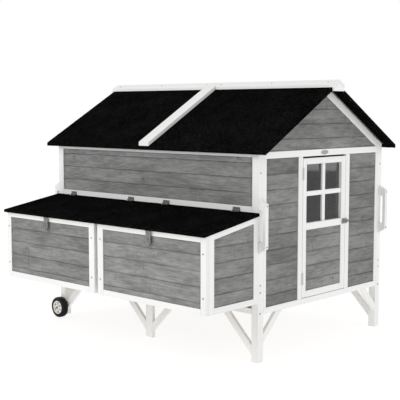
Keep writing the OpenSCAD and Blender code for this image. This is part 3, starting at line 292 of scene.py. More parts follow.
class Finish(NodeTree):
    """A material, with the calls that make its colour, gloss and relief."""

    def __init__(self, name):
        self.material = bpy.data.materials.new(name)
        self.material.use_nodes = True
        super().__init__(self.material.node_tree)
        self.skin = self.tree.nodes["Principled BSDF"]

    def set_skin(self, **sockets):
        """Sets the surface's own sockets, named with underscores for spaces."""
        for name, value in sockets.items():
            self.join(self.skin.inputs[name.replace("_", " ")], value)

    def attribute(self, name, output):
        """What a mesh stores under a name."""
        return self.add("Attribute", {}, attribute_name=name).outputs[output]

    def place(self):
        """Places on the piece, in metres."""
        return self.add("TexCoord", {}).outputs["Object"]

    def stretched(self, vector, factors):
        """A vector with each of its parts multiplied."""
        return self.add("VectorMath", {0: vector, 1: factors}, operation="MULTIPLY").outputs[0]

    def cloud(self, vector, scale, detail, roughness=CLOUD_ROUGHNESS):
        """Soft noise from 0 to 1."""
        inputs = {"Vector": vector, "Scale": scale, "Detail": detail, "Roughness": roughness}
        return self.add("TexNoise", inputs).outputs["Fac"]

    def cells(self, vector, scale, dimensions="3D"):
        """Scattered cells, as the distance from their middles and a chance value for each."""
        cells = self.add("TexVoronoi", {"Vector": vector, "Scale": scale},
                         voronoi_dimensions=dimensions)
        chance = self.add("SeparateColor", {"Color": cells.outputs["Color"]}).outputs["Red"]
        return cells.outputs["Distance"], chance

    def product(self, first, second):
        """Two values multiplied."""
        return self.reckon("MULTIPLY", first, second)

    def mixed(self, first, first_share, second, second_share):
        """Two patterns added by their shares."""
        return self.reckon("ADD", self.product(first, first_share),
                           self.product(second, second_share))

    def span(self, value, low, high, to_low, to_high):
        """A value from one range laid out over another, with soft ends."""
        inputs = {"Value": value, "From Min": low, "From Max": high, "To Min": to_low,
                  "To Max": to_high}
        node = self.add("MapRange", inputs, interpolation_type="SMOOTHSTEP")
        return node.outputs["Result"]

    def spread(self, pattern, to_low=0, to_high=1):
        """Soft noise laid out over a range."""
        return self.span(pattern, NOISE_LOW, NOISE_HIGH, to_low, to_high)

    def tint(self, factor, first, second):
        """A colour between two colours."""
        node = self.add("Mix", {}, data_type="RGBA")
        self.join(node.inputs[0], factor)
        self.join(node.inputs[6], first)
        self.join(node.inputs[7], second)
        return node.outputs[2]

    def mottled(self, factor, rgb, dark, pale):
        """A colour that runs from dark to pale."""
        return self.tint(factor, dimmed(rgb, dark), dimmed(rgb, pale))

    def shade(self, base, factor):
        """A colour made darker or lighter by a factor."""
        return self.add("VectorMath", {0: base, "Scale": factor}, operation="SCALE").outputs[0]

    def relief(self, height, strength, depth):
        """Bump of the surface."""
        inputs = {"Height": height, "Strength": strength, "Distance": depth}
        self.set_skin(Normal=self.add("Bump", inputs).outputs["Normal"])


class Timber(Finish):
    """A material whose figure follows each board's own grain."""

    def __init__(self, name):
        super().__init__(name)
        self.grain = self.attribute("grain", "Vector")
        self.tone = self.attribute("tone", "Fac")
        parts = self.add("SeparateXYZ", {0: self.attribute("place", "Vector")})
        self.end = self.reckon("ABSOLUTE", parts.outputs[0])
        self.edge = self.reckon("ABSOLUTE", parts.outputs[1])

    def bend_round_knots(self, share):
        """Sets a share of small knots on the boards and bends the grain round them."""
        near, chance = self.cells(self.stretched(self.grain, KNOTS_IN_METRE), 1.0, "2D")
        chosen = self.span(chance, 1 - share, 1 - share + KNOT_CHOICE_BLUR, 0, 1)
        self.knot = self.product(chosen, self.span(near, *KNOT_EDGE, 1, 0))
        self.halo = self.product(chosen, self.span(near, *KNOT_HALO, 1, 0))
        push = self.add("CombineXYZ", {"Y": self.product(self.halo, GRAIN_BEND)}).outputs[0]
        self.grain = self.add("VectorMath", {0: self.grain, 1: push}, operation="ADD").outputs[0]

    def rings(self):
        """Growth rings cut along the board."""
        inputs = {"Vector": self.stretched(self.grain, (0.06, 1, 1)), "Scale": 46.0,
                  "Distortion": 3.0, "Detail": 2.0, "Detail Scale": 0.35}
        node = self.add("TexWave", inputs, wave_type="RINGS", rings_direction="X")
        return node.outputs["Fac"]

    def lines(self, along, across, detail):
        """Uneven lines along the grain, by their number in a metre along and across it."""
        vector = self.stretched(self.grain, (along, across, across))
        return self.cloud(vector, 1.0, detail, LINE_ROUGHNESS)

    def streaks(self):
        """Long streaks of planed timber."""
        return self.lines(1.1, 60, 5.0)

    def fibres(self):
        """Fine fibres of the wood."""
        return self.lines(9, 700, 2.0)


def paint_finish(colours):
    """White paint over planed softwood, with the grain just showing through."""
    wood = Timber("white_paint")
    wood.bend_round_knots(0.3)
    streak = wood.streaks()
    veil = wood.mixed(streak, 0.6, wood.lines(1.6, 10, 2.0), 0.4)
    cover = wood.mottled(wood.spread(veil), colours.paint, 0.95, 1.02)
    bled = wood.tint(wood.product(wood.knot, 0.10), cover, opaque(colours.bleed))
    soil = dimmed(colours.paint, 0.62)
    soiled = wood.tint(wood.span(wood.end, BOARD_END, 1.0, 0, 0.12), bled, soil)
    toned = wood.shade(soiled, wood.span(wood.tone, 0.2, 0.8, 0.975, 1.01))
    wood.set_skin(Base_Color=toned, Roughness=wood.spread(streak, 0.5, 0.62),
                  Specular_IOR_Level=0.35)
    wood.relief(streak, 0.25, 0.0006)
    return wood.material


def stain_finish(colours):
    """Grey stain on sawn boards: soft clouds, fine flecks, small drips, knots, dark joints."""
    wood = Timber("grey_stain")
    wood.bend_round_knots(0.22)
    fleck = wood.lines(16, 120, 5.0)
    veined = wood.mixed(fleck, 0.5, wood.lines(4, 16, 3.0), 0.5)
    cover = wood.mottled(wood.spread(veined), colours.stain, 0.62, 1.38)
    drips = wood.cloud(wood.stretched(wood.place(), (60, 60, 11)), 1.0, 2.0, 0.6)
    washed = wood.shade(cover, wood.span(drips, 0.27, 0.36, 0.78, 1.0))
    haloed = wood.shade(washed, wood.span(wood.halo, 0, 1, 1.0, 0.9))
    knotted = wood.tint(wood.product(wood.knot, 0.7), haloed, dimmed(colours.stain, 0.2))
    depth = wood.span(wood.lines(5, 5, 2.0), 0.35, 0.65, 0.27, 0.09)
    groove = wood.product(wood.span(wood.edge, 0.62, 0.97, 0, 1), depth)
    jointed = wood.shade(knotted, wood.span(groove, 0, 1, 1.0, 0.0))
    ended = wood.shade(jointed, wood.span(wood.end, 0.97, 1.0, 1.0, 0.74))
    # The board's tone also holds the painted shade on boards that face the ends
    toned = wood.shade(ended, wood.span(wood.tone, -0.2, 1.2, 0.74, 1.26))
    wood.set_skin(Base_Color=toned, Roughness=wood.spread(fleck, 0.66, 0.82),
                  Specular_IOR_Level=0.2)
    wood.relief(wood.mixed(wood.fibres(), 0.35, fleck, 0.65), 0.4, 0.0008)
    return wood.material


def pine_finish(colours):
    """Bare planed pine with clear rings and brown knots."""
    wood = Timber("bare_pine")
    wood.bend_round_knots(0.45)
    rings = wood.rings()
    streak = wood.streaks()
    veined = wood.mixed(rings, 0.45, streak, 0.55)
    cover = wood.mottled(wood.span(veined, 0.2, 0.8, 0, 1), colours.pine, 0.72, 1.15)
    knotted = wood.tint(wood.product(wood.knot, 0.9), cover, dimmed(colours.pine, 0.22))
    toned = wood.shade(knotted, wood.span(wood.tone, 0.2, 0.8, 0.86, 1.1))
    ended = wood.shade(toned, wood.span(wood.end, BOARD_END, 1.0, 1.0, 0.8))
    wood.set_skin(Base_Color=ended, Roughness=wood.spread(streak, 0.55, 0.75),
                  Specular_IOR_Level=0.3)
    wood.relief(wood.reckon("ADD", wood.fibres(), rings), 0.3, 0.0006)
    return wood.material


def roof_board_finish(colours):
    """Grey stain on the boards under the roof's felt."""
    wood = Timber("roof_board_stain")
    streak = wood.streaks()
    cover = wood.mottled(wood.span(streak, 0.25, 0.75, 0, 1), colours.roof_ply, 0.75, 1.25)
    ended = wood.shade(cover, wood.span(wood.end, BOARD_END, 1.0, 1.0, 0.7))
    rubbed = wood.product(wood.tone, wood.edge)
    toned = wood.shade(ended, wood.span(rubbed, 0, 1, 1.05, 0.9))
    wood.set_skin(Base_Color=toned, Roughness=wood.spread(streak, 0.7, 0.85),
                  Specular_IOR_Level=0.12)
    wood.relief(wood.fibres(), 0.35, 0.0006)
    return wood.material


def felt_finish(colours):
    """Black mineral felt: fine granules with some pale ones, soft clouds of wear."""
    finish = Finish("mineral_felt")
    place = finish.place()
    grit, spark = finish.cells(place, 420.0)
    clouds = finish.cloud(place, 7.0, 4.0, 0.6)
    patches = finish.cloud(place, 120.0, 3.0, 0.6)
    base = finish.mottled(finish.spread(clouds), colours.felt, 0.5, 1.3)
    pale = dimmed(colours.felt, 8.0)
    speckled = finish.tint(finish.span(spark, 0.86, 0.97, 0, 0.8), base, pale)
    worn = finish.shade(speckled, finish.spread(patches, 0.2, 2.2))
    finish.set_skin(Base_Color=worn, Roughness=finish.span(spark, 0, 1, 0.88, 0.98),
                    Specular_IOR_Level=0.0)
    finish.relief(finish.mixed(grit, 0.7, patches, 0.5), 0.6, 0.0012)
    return finish.material


def zinc_finish(colours):
    """Galvanised steel with its spangle and dull handling marks, painted shade on the lid hinges,
    or paint where it is coated.
    """
    finish = Finish("galvanised_steel")
    place = finish.place()
    crystal = finish.cells(place, 190.0)[1]
    marks = finish.cloud(place, 340.0, 4.0, 0.65)
    cover = finish.mottled(crystal, colours.zinc, 0.74, 1.2)
    dulled = finish.shade(cover, finish.spread(marks, 0.72, 1.1))
    # Lid hinges are made darker: painted shade
    shaded_lid_hinges = finish.span(finish.attribute("lid_hinge_shade", "Fac"), 0, 1, 1.0, 0.42)
    coat = finish.attribute("coat", "Fac")
    worn = finish.mottled(finish.spread(marks), colours.paint, 0.74, 0.86)
    finish.set_skin(Base_Color=finish.tint(coat, finish.shade(dulled, shaded_lid_hinges), worn),
                    Metallic=finish.span(coat, 0, 1, 1.0, 0.0),
                    Roughness=finish.reckon("ADD", finish.spread(marks, 0.2, 0.36),
                                            finish.product(coat, 0.25)))
    finish.relief(marks, 0.2, 0.0002)
    return finish.material


def plate_finish(colours):
    """Dull brushed metal of the blank plate."""
    finish = Finish("dull_plate")
    brushed = finish.cloud(finish.stretched(finish.place(), (40, 60, 2200)), 1.0, 3.0, 0.6)
    finish.set_skin(Base_Color=finish.mottled(brushed, colours.plate, 0.8, 1.15),
                    Metallic=1.0, Roughness=finish.spread(brushed, 0.32, 0.5))
    finish.relief(brushed, 0.15, 0.0002)
    return finish.material


def pane_finish(colours):
    """Clear smoky sheet with a faint film of dust."""
    finish = Finish("clear_sheet")
    place = finish.place()
    film = finish.cloud(place, 9.0, 5.0, 0.6)
    finish.set_skin(Base_Color=finish.mottled(finish.spread(film), colours.pane, 0.94, 1.05),
                    IOR=1.55, Transmission_Weight=1.0, Coat_Weight=1.0, Coat_Roughness=0.03,
                    Roughness=finish.spread(film, 0.02, 0.05))
    finish.relief(finish.cloud(place, 14.0, 1.0), 0.04, 0.0006)
    return finish.material


def rubber_finish(colours):
    """Moulded black rubber with a little dust."""
    finish = Finish("black_rubber")
    place = finish.place()
    dust = finish.cloud(place, 60.0, 5.0, 0.65)
    dusty = finish.mottled(finish.span(dust, 0.45, 0.75, 0, 0.5), colours.rubber, 1, 3.2)
    finish.set_skin(Base_Color=dusty, Roughness=finish.spread(dust, 0.55, 0.8),
                    Specular_IOR_Level=0.3)
    finish.relief(finish.cloud(place, 900.0, 2.0), 0.25, 0.0003)
    return finish.material


def rim_finish(colours):
    """Off-white moulded plastic."""
    finish = Finish("moulded_plastic")
    place = finish.place()
    haze = finish.cloud(place, 45.0, 4.0, 0.6)
    cover = finish.mottled(finish.span(haze, 0.35, 0.7, 0, 1), colours.rim, 0.86, 1.05)
    finish.set_skin(Base_Color=cover, Roughness=finish.spread(haze, 0.36, 0.5))
    finish.relief(finish.cloud(place, 1200.0, 2.0), 0.12, 0.0002)
    return finish.material


FINISHES = {"white_trim": paint_finish, "grey_siding": stain_finish, "plain_wood": pine_finish,
            "felt": felt_finish, "steel": zinc_finish, "plate": plate_finish,
            "pane": pane_finish, "tyre": rubber_finish, "rim": rim_finish}
made = {}


def finish_for(slot):
    """The material of a record slot, made once."""
    if slot not in made:
        made[slot] = FINISHES[slot](bpy.context.scene.hen_house_colours)
    return made[slot]


def solids_of(node):
    """A node's solids with their corners welded and flat faces made whole."""
    bm = bmesh.new()
    bm.from_mesh(frame["nodes"][node].data)
    bmesh.ops.remove_doubles(bm, verts=bm.verts, dist=WELD)
    bmesh.ops.dissolve_limit(bm, angle_limit=FLAT_ANGLE, verts=bm.verts, edges=bm.edges)
    return bm


def eased(bm, radius):
    """Rounds every sharp edge a little, as a plane, a mould or a tumbler does."""
    sharp = [edge for edge in bm.edges
             if len(edge.link_faces) == 2 and edge.calc_face_angle() > SHARP_ANGLE]
    bmesh.ops.bevel(bm, geom=sharp, offset=radius, offset_type="OFFSET", segments=EASE_STEPS,
                    profile=0.5, affect="EDGES", clamp_overlap=True)
    return bm


def loose_pieces(bm):
    """The separate solids of a mesh, each as its list of vertices."""
    for parts in (bm.verts, bm.edges, bm.faces):
        parts.index_update()
    seen = set()
    pieces = []
    for start in bm.verts:
        if start in seen:
            continue
        seen.add(start)
        piece = [start]
        for vert in piece:
            for edge in vert.link_edges:
                other = edge.other_vert(vert)
                if other not in seen:
                    seen.add(other)
                    piece.append(other)
        pieces.append(piece)
    return pieces


def box_of(piece):
    """The lowest and the highest corner of the box round a solid."""
    columns = list(zip(*(vert.co for vert in piece)))
    return Vector([min(column) for column in columns]), Vector([max(column) for column in columns])


def longest_edge(piece, level):
    """Direction of a solid's longest edge, or of its longest level edge."""
    edges = {edge for vert in piece for edge in vert.link_edges}
    if level:
        edges = {edge for edge in edges if abs(edge.verts[1].co.z - edge.verts[0].co.z) < WELD}
    edge = max(edges, key=lambda edge: (round(edge.calc_length(), LENGTH_DIGITS), -edge.index))
    along = (edge.verts[1].co - edge.verts[0].co).normalized()
    return along if sum(along) > 0 else -along


def faces_of(piece):
    """All faces of a solid."""
    return {face for vert in piece for face in vert.link_faces}


def largest(faces):
    """The largest face, or the first of equal ones."""
    return max(faces, key=lambda face: (round(face.calc_area(), AREA_DIGITS), -face.index))


def keep_values(mesh, name, values):
    """Keeps one value for each point in a mesh, for its finish."""
    mesh.attributes.new(name, "FLOAT", "POINT").data.foreach_set("value", values)


class GrainMap:
    """For each point of a mesh: its place in the log, its place on its board, the board's tone with
    painted shade on boards that face the ends.
    """

    def __init__(self, node, bm, level, tone, end_face_shade):
        self.level = level
        self.middle_tone = tone
        self.end_face_shade = end_face_shade
        draw = random.Random(node)
        count = len(bm.verts)
        self.grain = [0.0] * (3 * count)
        self.place = [0.0] * (3 * count)
        self.tone = [0.0] * count
        for piece in loose_pieces(bm):
            self.lay(piece, draw)

    def lay(self, piece, draw):
        """Lays the grain along one board."""
        along = longest_edge(piece, self.level)
        beside = [face for face in faces_of(piece) if abs(face.normal.dot(along)) < SIDE_LEAN]
        through = largest(beside).normal
        axes = (along, through.cross(along).normalized(), through)
        shift = (draw.uniform(0, LOG_LENGTH), draw.uniform(-HEART_BESIDE, HEART_BESIDE),
                 draw.uniform(*HEART_OVER))
        own_tone = draw.uniform(-TONE_SPREAD, TONE_SPREAD)
        # Boards that face the ends get a darker tone: painted shade on those sides
        tone = self.middle_tone + own_tone - self.end_face_shade * abs(through.x)
        spans = [[vert.co.dot(axis) for vert in piece] for axis in axes]
        middles = [(min(span) + max(span)) / 2 for span in spans]
        halves = [max((max(span) - min(span)) / 2, WELD) for span in spans]
        for step, vert in enumerate(piece):
            self.tone[vert.index] = tone
            for part in range(3):
                inside = spans[part][step] - middles[part]
                self.grain[3 * vert.index + part] = inside + shift[part]
                self.place[3 * vert.index + part] = inside / halves[part]

    def store(self, mesh):
        """Keeps the map in the mesh for the timber finishes."""
        for name, values in (("grain", self.grain), ("place", self.place)):
            stored = mesh.attributes.new(name, "FLOAT_VECTOR", "POINT")
            stored.data.foreach_set("vector", values)
        keep_values(mesh, "tone", self.tone)


def new_piece(name, bm, material, closed=True):
    """A smooth-shaded object made from a mesh, with one material."""
    mesh = bpy.data.meshes.new(name)
    if closed:
        bmesh.ops.recalc_face_normals(bm, faces=bm.faces)
    bm.to_mesh(mesh)
    bm.free()
    mesh.materials.append(material)
    piece = bpy.data.objects.new(name, mesh)
    bpy.context.scene.collection.objects.link(piece)
    mesh.shade_smooth()
    return piece


def rounded_look(piece):
    """Keeps flat faces flat under the smooth shading."""
    piece.data.set_sharp_from_angle(angle=SMOOTH_ANGLE)
    even = piece.modifiers.new("Even normals", "WEIGHTED_NORMAL")
    even.keep_sharp = True


def stand_for(piece, node):
    """The piece takes the place of a node and moves with its body."""
    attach(piece, BODY_OF[node])
    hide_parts(node)


def solid_piece(node, suffix, bm, slot, material=None):
    """A solid piece in a slot's own finish, or in another, that takes the place of a node."""
    piece = new_piece(node + suffix, bm, material or finish_for(slot))
    rounded_look(piece)
    stand_for(piece, node)
    return piece


def timber_piece(node, suffix, ease, slot, material=None, level=False, tone=0.5, end_face_shade=0):
    """A node's timber with eased edges and its own grain, level where its boards lie level."""
    bm = eased(solids_of(node), ease)
    grain = GrainMap(node, bm, level, tone, end_face_shade)
    grain.store(solid_piece(node, suffix, bm, slot, material).data)


def join_rows(bm, first, second, closed=True):
    """Lays faces between two rows of vertices, right round where they are closed."""
    count = len(first)
    for step in range(count if closed else count - 1):
        after = (step + 1) % count
        bm.faces.new((first[step], second[step], second[after], first[after]))


def ring_stack(bm, profile, half_wide, half_high, rise, count, place):
    """Joins the rings of a profile, closes the first one and returns the last."""
    turn = 2 * math.pi / count
    rings = []
    for share, lift in profile:
        wide = half_wide * share
        high = half_high * share
        points = [Vector((wide * math.cos(step * turn), high * math.sin(step * turn), rise * lift))
                  for step in range(count)]
        rings.append([bm.verts.new(place @ point) for point in points])
    for lower, upper in zip(rings, rings[1:]):
        join_rows(bm, lower, upper)
    bm.faces.new(list(reversed(rings[0])))
    return rings[-1]


def cross_slot(bm, rim, place, radius, rise):
    """Closes a screw head's top ring with a cross-shaped driver slot."""
    arm = SLOT_REACH * radius
    half = SLOT_HALF * radius
    corner = [(arm, -half), (arm, half), (half, half)]
    outline = []
    for quarter in range(4):
        turn = Matrix.Rotation(quarter * math.pi / 2, 4, "Z")
        outline += [turn @ Vector((x, y, 0)) for x, y in corner]
    lift = Vector((0, 0, rise))
    sunk = Vector((0, 0, rise - rise * SLOT_DEPTH))
    top = [bm.verts.new(place @ (point + lift)) for point in outline]
    floor = [bm.verts.new(place @ (point * SLOT_TAPER + sunk)) for point in outline]
    join_rows(bm, floor, top)
    bm.faces.new(floor)
    edges = []
    for loop in (rim, top):
        for step, vert in enumerate(loop):
            following = loop[(step + 1) % len(loop)]
            edges.append(bm.edges.get((vert, following)) or bm.edges.new((vert, following)))
    bmesh.ops.triangle_fill(bm, edges=edges, use_beauty=True)


def facing(normal):
    """A turn that brings +Z onto a normal."""
    return normal.to_track_quat("Z", "Y").to_matrix().to_4x4()


def screw_head(bm, middle, normal, radius, rise):
    """One domed screw head with a cross slot, standing on a surface."""
    place = Matrix.Translation(middle) @ facing(normal)
    rim = ring_stack(bm, HEAD_PROFILE, radius, radius, rise, HEAD_SIDES, place)
    cross_slot(bm, rim, place, radius, rise)


class HENHOUSE_OT_white_timber(bpy.types.Operator):
    """Paints posts, rails, stiles, braces, ridge and grips white"""

    bl_idname = "henhouse.white_timber"
    bl_label = "White timber"

    def execute(self, context):
        sizes = context.scene.hen_house_sizes
        for nodes, ease in ((PAINTED, sizes.timber_ease), (GRIPS, sizes.grip_ease)):
            for node in nodes:
                timber_piece(node, "_painted", ease, "white_trim")
        return {"FINISHED"}


class HENHOUSE_OT_grey_boards(bpy.types.Operator):
    """Stains the wall, nest box and door boards grey"""

    bl_idname = "henhouse.grey_boards"
    bl_label = "Grey boards"

    def execute(self, context):
        ease = context.scene.hen_house_sizes.board_ease
        for node, (tone, end_face_shade) in STAINED.items():
            timber_piece(node, "_stained", ease, "grey_siding", level=True, tone=tone,
                         end_face_shade=end_face_shade)
        return {"FINISHED"}


class HENHOUSE_OT_plain_timber(bpy.types.Operator):
    """Finishes the floor, perches, nest floors, lids and the boards under the roof's felt"""

    bl_idname = "henhouse.plain_timber"
    bl_label = "Plain timber"

    def execute(self, context):
        ease = context.scene.hen_house_sizes.board_ease
        for node in BARE:
            timber_piece(node, "_planed", ease, "plain_wood")
        timber_piece("roof_boards", "_stained", ease, "plain_wood",
                     roof_board_finish(context.scene.hen_house_colours))
        return {"FINISHED"}


class FeltEdge:
    """One edge of a felt sheet: turned over, down past its board and, with a lap, under it."""

    def __init__(self, depth, lap, fold):
        self.lap = lap
        self.fold = fold
        self.depth = depth
        self.quarter = fold * math.pi / 2
        self.level = depth - 2 * fold

    def distances(self):
        """Places along the turned part, from its start outwards."""
        turn = [self.quarter * step / FOLD_STEPS for step in range(1, FOLD_STEPS + 1)]
        if not self.lap:
            return turn + [self.quarter + self.depth - self.fold]
        under = self.quarter + self.level
        lapped = [under + place for place in turn + [self.quarter + self.lap]]
        return turn + [under] + lapped

    def path(self, distance):
        """How far sideways and down the felt is at a distance past the fold's start."""
        if distance <= self.quarter:
            turn = distance / self.fold
            return self.fold * math.sin(turn), self.fold * (1 - math.cos(turn))
        if not self.lap or distance <= self.quarter + self.level:
            return self.fold, self.fold + distance - self.quarter
        turn = min((distance - self.quarter - self.level) / self.fold, math.pi / 2)
        inward = max(0, distance - 2 * self.quarter - self.level)
        return (self.fold * math.cos(turn) - inward,
                self.depth - self.fold + self.fold * math.sin(turn))


class FeltSheet:
    """Felt laid over one sloping board and turned over three of its edges."""

    def __init__(self, corners, sizes):
        self.fold = sizes.felt_fold
        self.sag = sizes.felt_sag
        self.step = sizes.felt_step
        upper = max(corners, key=lambda co: co.z)
        away = max(corners, key=lambda co: abs(co.y - upper.y))
        self.x0 = min(co.x for co in corners)
        x1 = max(co.x for co in corners)
        self.width = x1 - self.x0
        self.y0 = upper.y
        self.reach = abs(away.y - upper.y)
        self.way = 1 if away.y > upper.y else -1
        self.upper_z = upper.z
        eave = [co.z for co in corners if abs(co.y - away.y) < WELD]
        self.fall = max(eave) - upper.z
        sides = [[co.z for co in corners if abs(co.x - x) < WELD and abs(co.y - self.y0) < WELD]
                 for x in (self.x0, x1)]
        depths = [max(side) - min(side) for side in sides]
        lapped = [depth > min(depths) + WELD for depth in depths]
        self.ends = [FeltEdge(depth, sizes.gable_lap if under else 0, self.fold)
                     for depth, under in zip(depths, lapped)]
        self.eave = FeltEdge(max(eave) - min(eave), sizes.eave_lap if any(lapped) else 0, self.fold)

    def stations(self, span, start, end):
        """Places across the sheet as (flat place, distance past the fold, edge), end to end."""
        first = self.fold if start else 0
        count = max(2, round((span - first - self.fold) / self.step))
        flat = [first + (span - first - self.fold) * step / count for step in range(count + 1)]
        before = [(first, -place, start) for place in reversed(start.distances())] if start else []
        after = [(span - self.fold, place, end) for place in end.distances()]
        return before + [(place, 0, end) for place in flat] + after

    def point(self, along, down):
        """The sheet's place at two stations."""
        side = Vector((along[1], down[1])).normalized()
        leading = max(along, down, key=lambda station: abs(station[1]))
        sideways, drop = leading[2].path(abs(leading[1]))
        across = down[0] + side.y * sideways
        x = self.x0 + along[0] + side.x * sideways
        y = self.y0 + across * self.way
        spot = Vector((x * HOLLOWS_IN_METRE, y * HOLLOWS_IN_METRE, HOLLOW_LAYER))
        hollow = self.sag * (0.5 + 0.5 * noise.noise(spot))
        top = self.upper_z + self.fall * across / self.reach
        return Vector((x, y, top - drop - hollow))

    def build(self, bm):
        """Adds the sheet to a mesh."""
        across = self.stations(self.width, self.ends[0], self.ends[1])
        downs = self.stations(self.reach, None, self.eave)
        rows = [[bm.verts.new(self.point(along, down)) for down in downs] for along in across]
        for first, second in zip(rows, rows[1:]):
            join_rows(bm, first[::self.way], second[::self.way], closed=False)


class HENHOUSE_OT_felt(bpy.types.Operator):
    """Lays the felt on the roof and the lids"""

    bl_idname = "henhouse.felt"
    bl_label = "Felt"

    def execute(self, context):
        sizes = context.scene.hen_house_sizes
        for node in FELTED:
            solids = solids_of(node)
            bm = bmesh.new()
            for solid in loose_pieces(solids):
                FeltSheet([vert.co.copy() for vert in solid], sizes).build(bm)
            solids.free()
            piece = new_piece(node + "_laid", bm, finish_for("felt"), closed=False)
            thick = piece.modifiers.new("Thickness", "SOLIDIFY")
            thick.thickness = sizes.felt_thickness
            thick.offset = -1
            stand_for(piece, node)
        return {"FINISHED"}


def along_leaf(low, high):
    """Places of a leaf's two screws along its pin. The door's upright leaves, which are hidden in
    its gap, and the hasp's short leaf under a lid have none."""
    if high.x - low.x < LEAF_LEAST:
        return []
    middle = (low.x + high.x) / 2
    return [middle - LEAF_SCREW_FROM_MIDDLE, middle + LEAF_SCREW_FROM_MIDDLE]


def wall_leaf_spots(low, high):
    """Screws in a hinge leaf on the wall."""
    z = high.z - LEAF_SCREW_INSET
    return [Vector((x, low.y - PLATE_REACH, z)) for x in along_leaf(low, high)]


def lid_leaf_spots(low, high):
    """Screws in a hinge leaf on a lid."""
    y = low.y + LEAF_SCREW_INSET
    return [Vector((x, y, high.z + PLATE_REACH)) for x in along_leaf(low, high)]


def bolt_plate_spots(low, high):
    """Screws above and below the door bolt and its keeper."""
    y = (low.y + high.y) / 2
    return [Vector((high.x + PLATE_REACH, y, z))
            for z in (low.z + BOLT_SCREW_INSET, high.z - BOLT_SCREW_INSET)]


def staple_spots(low, high):
    """Screws above and below a turn button."""
    x = (low.x + high.x) / 2
    return [Vector((x, low.y - PLATE_REACH, z))
            for z in (low.z + STAPLE_SCREW_INSET, high.z - STAPLE_SCREW_INSET)]


# For each node of plates, the places to start from outside and the way inwards
PLATE_SCREWS = {"fixed_hinge_leaves": (wall_leaf_spots, Vector((0, 1, 0))),
                "lid_left_hardware": (lid_leaf_spots, Vector((0, 0, -1))),
                "lid_right_hardware": (lid_leaf_spots, Vector((0, 0, -1))),
                "bolt_guides": (bolt_plate_spots, Vector((-1, 0, 0))),
                "bolt_keeper": (bolt_plate_spots, Vector((-1, 0, 0))),
                "staple_plates": (staple_spots, Vector((0, 1, 0)))}


def plate_screws(node, sizes):
    """Drives small screws where straight lines from outside meet a node's plates."""
    spots, inwards = PLATE_SCREWS[node]
    solids = solids_of(node)
    plates = BVHTree.FromBMesh(solids)
    bm = bmesh.new()
    for solid in loose_pieces(solids):
        for spot in spots(*box_of(solid)):
            place, normal = plates.ray_cast(spot, inwards)[:2]
            screw_head(bm, place, normal, sizes.screw_radius, sizes.screw_rise)
    solids.free()
    piece = new_piece(node + "_screws", bm, finish_for("steel"))
    rounded_look(piece)
    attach(piece, BODY_OF[node])


def mark_hinges(mesh):
    """Marks the hinges: coated with the frame's paint at the door, darkened by painted shade at the
    lids.
    """
    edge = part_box("door_frame")[0].x
    coat = [float(vert.co.x > edge) for vert in mesh.vertices]
    keep_values(mesh, "coat", coat)
    # Painted shade on the lid hinges
    keep_values(mesh, "lid_hinge_shade", [1 - share for share in coat])


class HENHOUSE_OT_steel(bpy.types.Operator):
    """Finishes hinges, hasps, bolts and axles, and adds the small screws in their plates"""

    bl_idname = "henhouse.steel"
    bl_label = "Steel"

    def execute(self, context):
        sizes = context.scene.hen_house_sizes
        for node in STEEL:
            bm = eased(solids_of(node), sizes.steel_ease)
            piece = solid_piece(node, "_zinc", bm, "steel")
            if node in HINGES:
                mark_hinges(piece.data)
        for node in PLATE_SCREWS:
            plate_screws(node, sizes)
        return {"FINISHED"}


class HENHOUSE_OT_screws(bpy.types.Operator):
    """Drives the visible screws in posts, grips, stiles and ridge caps"""

    bl_idname = "henhouse.screws"
    bl_label = "Screws"

    def execute(self, context):
        solids = solids_of("screws")
        bm = bmesh.new()
        for solid in loose_pieces(solids):
            base = largest(faces_of(solid))
            middle = base.calc_center_bounds()
            radius = max((vert.co - middle).length for vert in base.verts)
            rise = max((middle - vert.co).dot(base.normal) for vert in solid)
            screw_head(bm, middle, -base.normal, radius, rise)
        solids.free()
        solid_piece("screws", "_driven", bm, "steel")
        return {"FINISHED"}


class HENHOUSE_OT_plate(bpy.types.Operator):
    """Makes the blank oval plate on the gable"""

    bl_idname = "henhouse.plate"
    bl_label = "Blank plate"

    def execute(self, context):
        low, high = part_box("blank_plate")
        middle = (low + high) / 2
        half = (high - low) / 2
        place = Matrix.Translation((low.x, middle.y, middle.z)) @ facing(Vector((1, 0, 0)))
        bm = bmesh.new()
        top = ring_stack(bm, PLATE_PROFILE, half.y, half.z, high.x - low.x, PLATE_SIDES, place)
        bm.faces.new(top)
        solid_piece("blank_plate", "_domed", bm, "plate")
        return {"FINISHED"}


class HENHOUSE_OT_pane(bpy.types.Operator):
    """Gives the door's pane its clear finish"""

    bl_idname = "henhouse.pane"
    bl_label = "Pane"

    def execute(self, context):
        pane = frame["nodes"]["door_pane"]
        pane.data.materials.clear()
        pane.data.materials.append(finish_for("pane"))
        return {"FINISHED"}


